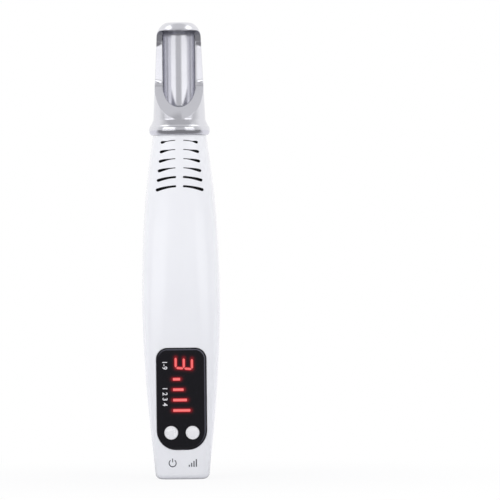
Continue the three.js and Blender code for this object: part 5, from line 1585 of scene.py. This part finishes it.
@dataclass(frozen=True)
class Print:
    """Pad-printed signs: flat shapes laid on a surface as a thin closed layer of ink."""

    thickness: float = 0.02
    lift: float = 0.004
    size: float = 2.9
    column: float = -8.0
    speed_up: float = 16.4
    level_up: float = 5.2
    power_centre: Pair = (-4.1, 7.0)
    power_radius: float = 1.5
    power_line: float = 0.42
    bar_line: float = 0.5
    bar_foot: float = 5.4
    # Place across the pen and height of each rising bar.
    bars: tuple[Pair, ...] = ((3.0, 0.9), (4.0, 1.7), (5.0, 2.5), (6.0, 3.3))

    def numerals(self, name: str, words: str, up: float, proud: float) -> None:
        """Numbers on the panel that read down it, turned so that their own up is the panel's right.

        Args:
            name: The piece's name.
            words: The characters.
            up: Where their line starts up the panel.
            proud: Height of the printed face over the housing's form.
        """
        curve = bpy.data.curves.new(name, "FONT")
        curve.body, curve.size = words, self.size
        curve.offset, curve.extrude, curve.resolution_u = 0.03, self.thickness / 2, 6
        text = linked(name, curve)
        graph = bpy.context.evaluated_depsgraph_get()
        piece = linked(name + "_mesh", bpy.data.meshes.new_from_object(text.evaluated_get(graph)))
        bpy.data.objects.remove(text)
        piece.name = name
        mesh = piece.data
        points = read(mesh.vertices, "co", 3)
        x, y = self.column + points[:, 1], up - points[:, 0]
        height = DISPLAY.surface(x, y, proud) + self.thickness / 2 + self.lift + points[:, 2]
        mesh.vertices.foreach_set("co", (DISPLAY.place(beside(x, y, height)) * MM).ravel())
        merge(mesh, outwards=True)
        fit(piece, WHITE_INK, "white_insulator")

    def ribbon(self, path: Array, width: float) -> Solid:
        """A line of ink: four corners carried along a path on the housing's front, X against height.

        Args:
            path: Points of the line's middle.
            width: Its width.

        Returns:
            The closed line of ink.
        """
        run = unit(np.gradient(path, axis=0))
        side = beside(-run[:, 1], run[:, 0]) * width / 2
        low, high = self.lift, self.thickness
        rings = []
        for offset, rise in ((side, low), (side, high), (-side, high), (-side, low)):
            x, height = (path + offset).T
            rings.append(beside(x, -(BODY.depth_at(Side.FRONT, x, height, -LIFT) + rise), height))
        return Solid.loft(np.stack(rings, 1))

    def build(self, panel: DisplayPanel) -> None:
        """Prints a scale of numbers on the panel and two signs under it, a power ring and rising bars.

        Args:
            panel: The panel that takes the numbers.
        """
        top = panel.proud - panel.step
        self.numerals("speed_numbers", "1-9", self.speed_up, top)
        self.numerals("level_numbers", "1 2 3 4", self.level_up, top)
        arc = np.linspace(math.radians(125), math.radians(415), 40)
        x, middle = self.power_centre
        ring = beside(x + self.power_radius * np.cos(arc), middle + self.power_radius * np.sin(arc))
        stem = beside(x, np.linspace(middle + 0.4, middle + 2.0, 8))
        bars = [beside(x, np.linspace(self.bar_foot, self.bar_foot + tall, 8)) for x, tall in self.bars]
        for name, paths, width in (
            ("power_sign", (ring, stem), self.power_line),
            ("level_sign", bars, self.bar_line),
        ):
            piece = as_object(name, Solid.together([self.ribbon(path, width) for path in paths]))
            shade(piece)
            fit(piece, GREY_INK, "black_sleeve")


@dataclass
class Trigger:
    """The long key on the back, with a shallow dish for the finger."""

    width: float = 8.0
    length: float = 15.6
    centre: float = 86.0
    proud: float = 0.9
    clearance: float = 0.2
    flange: float = 1.0
    flange_thickness: float = 0.9
    edge: float = 0.6
    wall: float = 2.0
    dish_radius: float = 22.0
    dish_depth: float = 0.35
    dish_rings: int = 16

    def loop(self, inset: float) -> Array:
        """The pill's outline inset by a distance: two half circles and two straight sides.

        Args:
            inset: The distance.

        Returns:
            One row per point.
        """
        radius, spine = self.width / 2 - inset, (self.length - self.width) / 2
        arc = np.linspace(0, math.pi, 33)
        upper = beside(radius * np.cos(arc), spine + radius * np.sin(arc))
        left = beside(-radius, np.linspace(spine, -spine, 18)[1:-1])
        return np.vstack([upper, left, -upper, -left])

    def levels(self) -> tuple[float, float, float]:
        """Depth of the cap's top, and of its flange's top and underside, from the seam.

        Returns:
            The three depths, from the outermost in.
        """
        top = float(BODY.sections(np.array(self.centre))[2]) + self.proud
        ends = self.centre + np.array([-1, 1]) * (self.length / 2 + self.flange)
        wall = BODY.depth_at(Side.BACK, np.full(2, self.width / 2 + self.flange), ends, self.wall)
        seat = float(wall.min()) - self.clearance
        return top, seat, seat - self.flange_thickness

    def stand(self, layers: Sequence[tuple[float, Array | float]]) -> Solid:
        """Skins outlines on the back of the pen, each given by its inset and its depth from the seam."""
        loops = [(self.loop(inset), depth) for inset, depth in layers]
        return Solid.loft([beside(loop[:, 0], depth, self.centre + loop[:, 1]) for loop, depth in loops])

    def well(self) -> Solid:
        """The opening in the rear shell."""
        return self.stand([(-self.clearance, depth) for depth in (self.levels()[2], 30.0)])

    def build(self) -> None:
        """Makes the cap: rings inset from the rim, dished by the sagitta of the finger's radius."""
        top, seat, low = self.levels()
        half, spine, span = self.width / 2, (self.length - self.width) / 2, self.dish_radius
        share, turn = np.linspace(0, 1, self.dish_rings), quarter(6)[1:]
        insets = [*((half - 0.02) * (1 - share) + self.edge * share), *(self.edge * (1 - np.sin(turn)))]
        drops = [*np.zeros(self.dish_rings), *(self.edge * (1 - np.cos(turn)))]
        layers = []
        for inset, drop in zip(insets, drops):
            height = np.minimum(np.abs(self.loop(inset)[:, 1]), span)
            sag = self.dish_depth - (span - np.sqrt(span**2 - height**2))
            layers.append((inset, top - drop - np.maximum(sag, 0)))
        layers += [(0.0, seat), (-self.flange, seat), (-self.flange, low)]
        piece = as_object("trigger_key", self.stand(layers))

        def dish(points: Array, _: Array) -> tuple[Array, Array]:
            """Normals of the top, inside its rounded edge.

            In the dish they are (0, 1, -h / sqrt(R^2 - h^2)) at a height h from its middle, and past
            it they point straight out.

            Args:
                points: Places in millimetres.
                _: Face normals there, which aren't needed.

            Returns:
                The normals, and where they hold.
            """
            height = np.clip(points[:, 2] - self.centre, -span / 2, span / 2)
            reach = math.sqrt(span**2 - (span - self.dish_depth) ** 2)
            slope = np.where(np.abs(height) < reach, height / np.sqrt(span**2 - height**2), 0.0)
            beyond = np.maximum(np.abs(points[:, 2] - self.centre) - spine, 0)
            inside = half - np.hypot(points[:, 0], beyond) > self.edge
            return unit(beside(0, 1, -slope)), inside & (points[:, 1] > seat + self.edge)

        shade(piece, dish)
        fit(piece, KEY_SILVER, "silver_key", "trigger_button", body=Body.TRIGGER)


@dataclass
class Fasteners:
    """The four pan-head screws in the rear shell's counterbores."""

    head: float = 1.6
    head_height: float = 1.2
    head_edge: float = 0.45
    shank: float = 0.85
    length: float = 9.0
    point: float = 0.8
    seat: float = 4.0
    cross: float = 0.95
    cross_width: float = 0.24
    cross_depth: float = 0.65
    thread_pitch: float = 1.0
    thread_rise: float = 0.35
    thread_height: float = 0.12
    # How far the thread stays from the head and from the tip.
    thread_ends: Pair = (0.6, 0.9)

    def screw(self) -> Solid:
        """A turned screw whose shank has rings of thread and a point, under a domed head.

        Returns:
            The closed screw, with the underside of its head at 0.
        """
        root, rise = self.shank - self.thread_height, self.thread_rise
        thread, (plain, tip) = [], self.thread_ends
        depth = self.length - tip
        while depth > plain:
            thread += [(root, -depth), (self.shank, -depth + rise), (root, -depth + 2 * rise)]
            depth -= self.thread_pitch
        crown = self.head_height - self.head_edge
        dome = [
            (self.head * math.cos(a) ** 0.6, self.head_edge + crown * math.sin(a))
            for a in np.linspace(0, math.pi / 2 - 0.08, 10)
        ]
        shank = [(0.03, -self.length), (root, self.point - self.length), *thread, (root, 0.0)]
        return Solid.turned([*shank, (self.head, 0.0), *dome], 64)

    def recess(self) -> Solid:
        """A cross-shaped driver recess that narrows downwards: one arm, turned by quarters.

        Returns:
            The tool that cuts it.
        """
        wide, long = self.cross_width, self.cross
        arm = np.array([[long, -wide], [long, wide], [wide, wide]])
        turn = np.array([[0, 1], [-1, 0]])
        plan = np.vstack([arm @ np.linalg.matrix_power(turn, k) for k in range(4)])
        layers = ((0.55, self.head_height - self.cross_depth), (1.0, self.head_height + 0.3))
        return Solid.loft([over(plan * share, height) for share, height in layers])

    def build(self) -> None:
        """Makes each screw where its node stands."""
        for i, (x, z) in enumerate(screw_places(), 1):
            piece = as_object(f"housing_screw_{i}_fine", self.screw().on_back(x, z, self.seat))
            carve(piece, Carve.CUT, self.recess().on_back(x, z, self.seat))
            shade(piece)
            fit(piece, ZINC_STEEL, "steel", f"housing_screw_{i}")


@dataclass
class PowerInlet:
    """The inlet in the base: a round collar, its bore and the centre pin."""

    collar: float = 3.9
    collar_top: float = 2.6
    edge: float = 0.25
    bore: float = 2.85
    bore_edge: Pair = (0.3, 0.7)
    recess: float = 0.4
    floor: Pair = (9.9, 10.4)
    floor_hole: float = 1.2
    pin: float = 1.0
    nose: float = 0.7
    tail: float = 0.5
    tail_length: float = 2.6

    def build(self) -> None:
        """Makes the collar fine on the solid model's body, and the pin with a rounded end."""
        wide, low, edge = self.collar, self.recess, self.edge
        collar = Solid.turned([(wide - edge, low), (wide, low + edge), (wide, self.collar_top)], 96)
        piece = as_object("dc_inlet_body", collar)
        carve(piece, Carve.ADD, copy_of("dc_jack_body"))
        (more, deep), (under, over_it), far = self.bore_edge, self.floor, self.bore + 0.1
        mouth = [(self.bore + more, 0.0), (self.bore, deep), (self.bore, 10.0)]
        carve(piece, Carve.CUT, Solid.turned(mouth, 96))
        ring = [(self.floor_hole, under), (far, under), (far, over_it), (self.floor_hole, over_it)]
        carve(piece, Carve.ADD, Solid.turned(ring, 64, closed=True))
        shade(piece)
        fit(piece, MATT_BLACK, "black_plastic", "dc_jack_body")
        bottom, top = (corner.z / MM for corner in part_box("dc_jack_pin"))
        nose = [(self.pin * math.sin(a), bottom + self.nose * (1 - math.cos(a))) for a in quarter(8)[1:]]
        shoulder = top - self.tail_length
        tail = [(self.pin, shoulder), (self.tail, shoulder), (self.tail, top)]
        pin = as_object("dc_inlet_pin", Solid.turned([(0.03, bottom), *nose, *tail], 64))
        shade(pin)
        fit(pin, TURNED_BRASS, "brass", "dc_jack_pin")


@dataclass
class Emitter:
    """The plated ring that shows in the head's window, about the nozzle."""

    inner: float = 3.3
    foot_edge: float = 0.2
    # The rounding of the top's outer edge: its reach, and how far in its middle point stands.
    outer_edge: Pair = (0.5, 0.15)
    # The rounding of its inner edge: across and down to the ends, then across and down to the middle point.
    inner_edge: tuple[float, float, float, float] = (0.6, 0.7, 0.15, 0.25)

    def build(self) -> None:
        """Makes the ring from its node's box, with fine chamfers."""
        low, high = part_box("emitter_bezel")
        inner, outer, bottom, top = self.inner, high.x / MM, low.z / MM, high.z / MM
        (reach, bend), (across, down, bend_across, bend_down) = self.outer_edge, self.inner_edge
        profile = [
            (inner + self.foot_edge, bottom), (outer, bottom),
            (outer, top - reach), (outer - bend, top - bend), (outer - reach, top),
            (inner + across, top), (inner + bend_across, top - bend_down), (inner, top - down),
            (inner, bottom + self.foot_edge),
        ]
        ring = as_object("emitter_ring", Solid.turned(profile, 128, closed=True))
        shade(ring)
        fit(ring, CHROME, "satin_chrome_plating", "emitter_bezel")


# Nodes of the solid model that stay, by finish.
CARRIED: dict[Finish, tuple[str, ...]] = {
    MATT_BLACK: (
        "display_module", "driver_chip", "left_switch_plunger", "right_switch_plunger",
        "trigger_switch_plunger", "trigger_switch_case", "fan_frame", "fan_rotor",
    ),
    SOLDER_MASK: ("display_board", "main_board"),
    ZINC_STEEL: (
        "left_switch_case", "right_switch_case", "lens_nozzle", "fan_shaft", "board_screw_1",
        "board_screw_2", "display_screw_1", "display_screw_2",
    ),
    TURNED_BRASS: ("dc_jack_spring", "laser_barrel", "laser_diode"),
    EXTRUDED_ALUMINIUM: ("heat_sink",),
    COPPER_WIRE: ("inductor_winding", "fan_stator"),
    FERRITE: ("inductor_core",),
    COATED_GLASS: ("collimating_lens",),
    RED_PVC: ("laser_lead_1", "power_lead_1"),
    BLACK_PVC: ("laser_lead_2", "power_lead_2", "fan_lead", "capacitor"),
    WHITE_NYLON: ("laser_socket", "display_ribbon"),
}


def dress_carried() -> None:
    """Gives each node that stays its own finish."""
    for finish, names in CARRIED.items():
        for name in names:
            mesh = frame["nodes"][name].data
            mesh.materials.clear()
            mesh.materials.append(coat_of(finish))
        log.info("%s: %d nodes", finish.name, len(names))


# Studio


@dataclass(frozen=True)
class SoftBox:
    """An area lamp at an angle from the camera's side of the pen, with sizes in metres.

    It looks straight across, or at the height look on the pen's axis. One that isn't mirrored only
    fills, and stays out of the plating's reflections.
    """

    name: str
    azimuth: float
    distance: float
    height: float
    size: Pair
    power: float
    look: float | None = None
    mirrored: bool = True

    def build(self) -> None:
        """Hangs the lamp and aims it."""
        data = bpy.data.lights.new(self.name, "AREA")
        data.shape = "RECTANGLE"
        data.size, data.size_y = self.size
        data.energy = self.power
        made = linked(self.name, data)
        turn = math.radians(self.azimuth)
        place = np.array([math.sin(turn) * self.distance, -math.cos(turn) * self.distance, self.height])
        forward = unit(np.array([0, 0, self.height if self.look is None else self.look]) - place)
        right = unit(np.cross(forward, [0, 0, 1.0]))
        axes = np.column_stack([right, np.cross(right, forward), -forward, place])
        made.matrix_world = Matrix([*axes.tolist(), [0, 0, 0, 1]])
        made.visible_glossy = self.mirrored


@dataclass
class Studio:
    """A pale floor, a room of soft light, lamps on both sides and the camera, with sizes in metres.

    Each side has a high and a low box, with a gap between them where the panel would mirror them, a top
    box that lights the rim, and a fill for the white housing.
    """

    distance: float = 2.0
    span: float = 0.214
    middle_x: float = 0.0297
    middle_z: float = 0.0975
    roll: float = math.radians(-0.54)
    floor_half: float = 6.0
    # The room's level by the direction's height, from straight down at 0 to straight up at 1.
    levels: tuple[Pair, ...] = ((0.0, 0.67), (0.5, 0.63), (0.62, 0.54), (0.76, 0.5), (0.9, 0.72), (1.0, 0.72))
    lamps: tuple[SoftBox, ...] = (
        SoftBox("left_fill", -42, 0.95, 0.765, (0.86, 0.87), 1.12, mirrored=False),
        SoftBox("right_fill", 41, 0.95, 0.765, (0.58, 0.87), 0.9, mirrored=False),
        SoftBox("left_high_box", -42, 0.9, 0.575, (0.86, 0.45), 1.25),
        SoftBox("right_high_box", 41, 0.9, 0.575, (0.58, 0.45), 0.9),
        SoftBox("left_low_box", -42, 0.9, 0.12, (0.86, 0.24), 0.49),
        SoftBox("right_low_box", 41, 0.9, 0.12, (0.58, 0.24), 0.3),
        SoftBox("left_top_box", -88, 0.58, 1.0, (0.55, 0.35), 0.52, look=0.19),
        SoftBox("right_top_box", 88, 0.58, 1.0, (0.55, 0.35), 0.52, look=0.19),
    )

    def camera(self) -> None:
        """A long lens level with the middle of the pen."""
        data = bpy.data.cameras.new("camera")
        data.sensor_width = 36
        data.lens = data.sensor_width * self.distance / self.span
        data.clip_end = 20
        made = linked("camera", data)
        place = Matrix.Translation((self.middle_x, -self.distance, self.middle_z))
        made.matrix_world = place @ Matrix.Rotation(math.pi / 2, 4, "X") @ Matrix.Rotation(self.roll, 4, "Z")
        bpy.context.scene.camera = made

    def seen(self, tree: bpy.types.NodeTree) -> tuple[bpy.types.Node, bpy.types.NodeSocket]:
        """The light's path, and one for what the camera sees straight or through glass.

        Args:
            tree: The floor's or the room's tree.

        Returns:
            The path's node, and the socket that tells.
        """
        path = add_node(tree, "LightPath")
        rays = {0: path.outputs["Is Camera Ray"], 1: path.outputs["Is Transmission Ray"]}
        return path, add_node(tree, "Math", rays, operation="MAXIMUM").outputs[0]

    def backdrop(self) -> None:
        """A paper floor that keeps its shadow near the pen and fades to plain white further off.

        The camera sees white by a share that rises with the distance from the pen, and the paper's
        own shading for the rest. In reflections the paper is pale behind the pen and grey before it,
        where the room is dark.
        """
        material = bpy.data.materials.new("white_paper_floor")
        tree = bare_tree(material)
        path, seen = self.seen(tree)
        place = add_node(tree, "TexCoord").outputs["Object"]
        away = add_node(tree, "VectorMath", {0: place}, operation="LENGTH").outputs["Value"]
        share = add_node(
            tree,
            "MapRange",
            {"Value": away, "From Min": 0.02, "From Max": 0.2, "To Min": 0.84, "To Max": 1.0},
            interpolation_type="SMOOTHSTEP",
        ).outputs["Result"]
        white = add_node(tree, "Math", {0: seen, 1: share}, operation="MULTIPLY").outputs[0]
        paper = add_node(tree, "BsdfDiffuse", {"Color": linear("#e9e9ec"), "Roughness": 0.6})
        light = add_node(tree, "Emission", {"Color": linear("#ffffff"), "Strength": 1.0})
        shown = add_node(tree, "MixShader", {0: white, 1: paper.outputs[0], 2: light.outputs[0]}).outputs[0]
        depth = add_node(tree, "SeparateXYZ", {0: place}).outputs["Y"]
        level = add_node(
            tree,
            "MapRange",
            {"Value": depth, "From Min": -0.02, "From Max": 0.12, "To Min": 0.27, "To Max": 0.95},
        ).outputs["Result"]
        mirrored = add_node(tree, "Emission", {"Color": linear("#fafaff"), "Strength": level}).outputs[0]
        surface = add_node(tree, "MixShader", {0: path.outputs["Is Glossy Ray"], 1: shown, 2: mirrored})
        add_node(tree, "OutputMaterial", {"Surface": surface.outputs[0]})
        half = self.floor_half
        mesh = bpy.data.meshes.new("floor")
        edge = [(-half, -half, 0), (half, -half, 0), (half, half, 0), (-half, half, 0)]
        mesh.from_pydata(edge, [], [(0, 1, 2, 3)])
        mesh.materials.append(material)
        linked("floor", mesh)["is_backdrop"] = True

    def world(self) -> None:
        """The room: white behind the pen, grey before it, darker above the middle, and a pale ceiling.

        The level follows the direction's height through a ramp, and turns white with its Y, except
        straight above. The camera sees plain white.
        """
        world = bpy.data.worlds.new("studio")
        bpy.context.scene.world = world
        tree = bare_tree(world)
        _, seen = self.seen(tree)
        way = add_node(tree, "SeparateXYZ", {0: add_node(tree, "TexCoord").outputs["Generated"]})
        ramp = add_node(tree, "ValToRGB", {0: way.outputs["Z"]})
        for _ in self.levels[2:]:
            ramp.color_ramp.elements.new(0.5)
        for element, (place, level) in zip(ramp.color_ramp.elements, self.levels):
            element.position = place
            element.color = (level, level, level * 1.02, 1)
        steps = []
        for axis, low, high, start, stop in (("Y", -0.45, 0.3, 0.0, 1.0), ("Z", 0.85, 0.97, 1.0, 0.0)):
            span = {"From Min": low, "From Max": high, "To Min": start, "To Max": stop}
            inputs = {"Value": way.outputs[axis], **span}
            step = add_node(tree, "MapRange", inputs, interpolation_type="SMOOTHSTEP")
            steps.append(step.outputs["Result"])
        behind = add_node(tree, "Math", {0: steps[0], 1: steps[1]}, operation="MULTIPLY").outputs[0]
        white = add_node(tree, "Math", {0: seen, 1: behind}, operation="MAXIMUM").outputs[0]
        tints = {"Factor": white, "A": ramp.outputs["Color"], "B": linear("#ffffff")}
        colour = add_node(tree, "Mix", tints, data_type="RGBA").outputs["Result"]
        back = add_node(tree, "Background", {"Color": colour, "Strength": 1.0})
        add_node(tree, "OutputWorld", {"Surface": back.outputs[0]})

    def build(self) -> None:
        """Sets up the whole studio."""
        self.camera()
        self.backdrop()
        self.world()
        for lamp in self.lamps:
            lamp.build()
        bpy.context.scene.view_settings.view_transform = "Standard"


def corners(box: tuple) -> list[list[float]]:
    """A box's two corners as plain lists."""
    return [list(corner) for corner in box]


def main() -> None:
    """Builds the studio and each sub-assembly in turn."""
    solid_box = corners(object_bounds())
    Studio().build()
    Housing().build()
    FocusHead().build()
    readout, buttons, panel = Readout(), FrontButtons(), DisplayPanel()
    panel.build(readout, buttons)
    Print().build(panel)
    for group in (readout, buttons, Trigger(), Fasteners(), PowerInlet(), Emitter()):
        group.build()
    dress_carried()
    {"cad": solid_box, "visual": corners(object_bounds())}


if __name__ == "__main__":
    main()
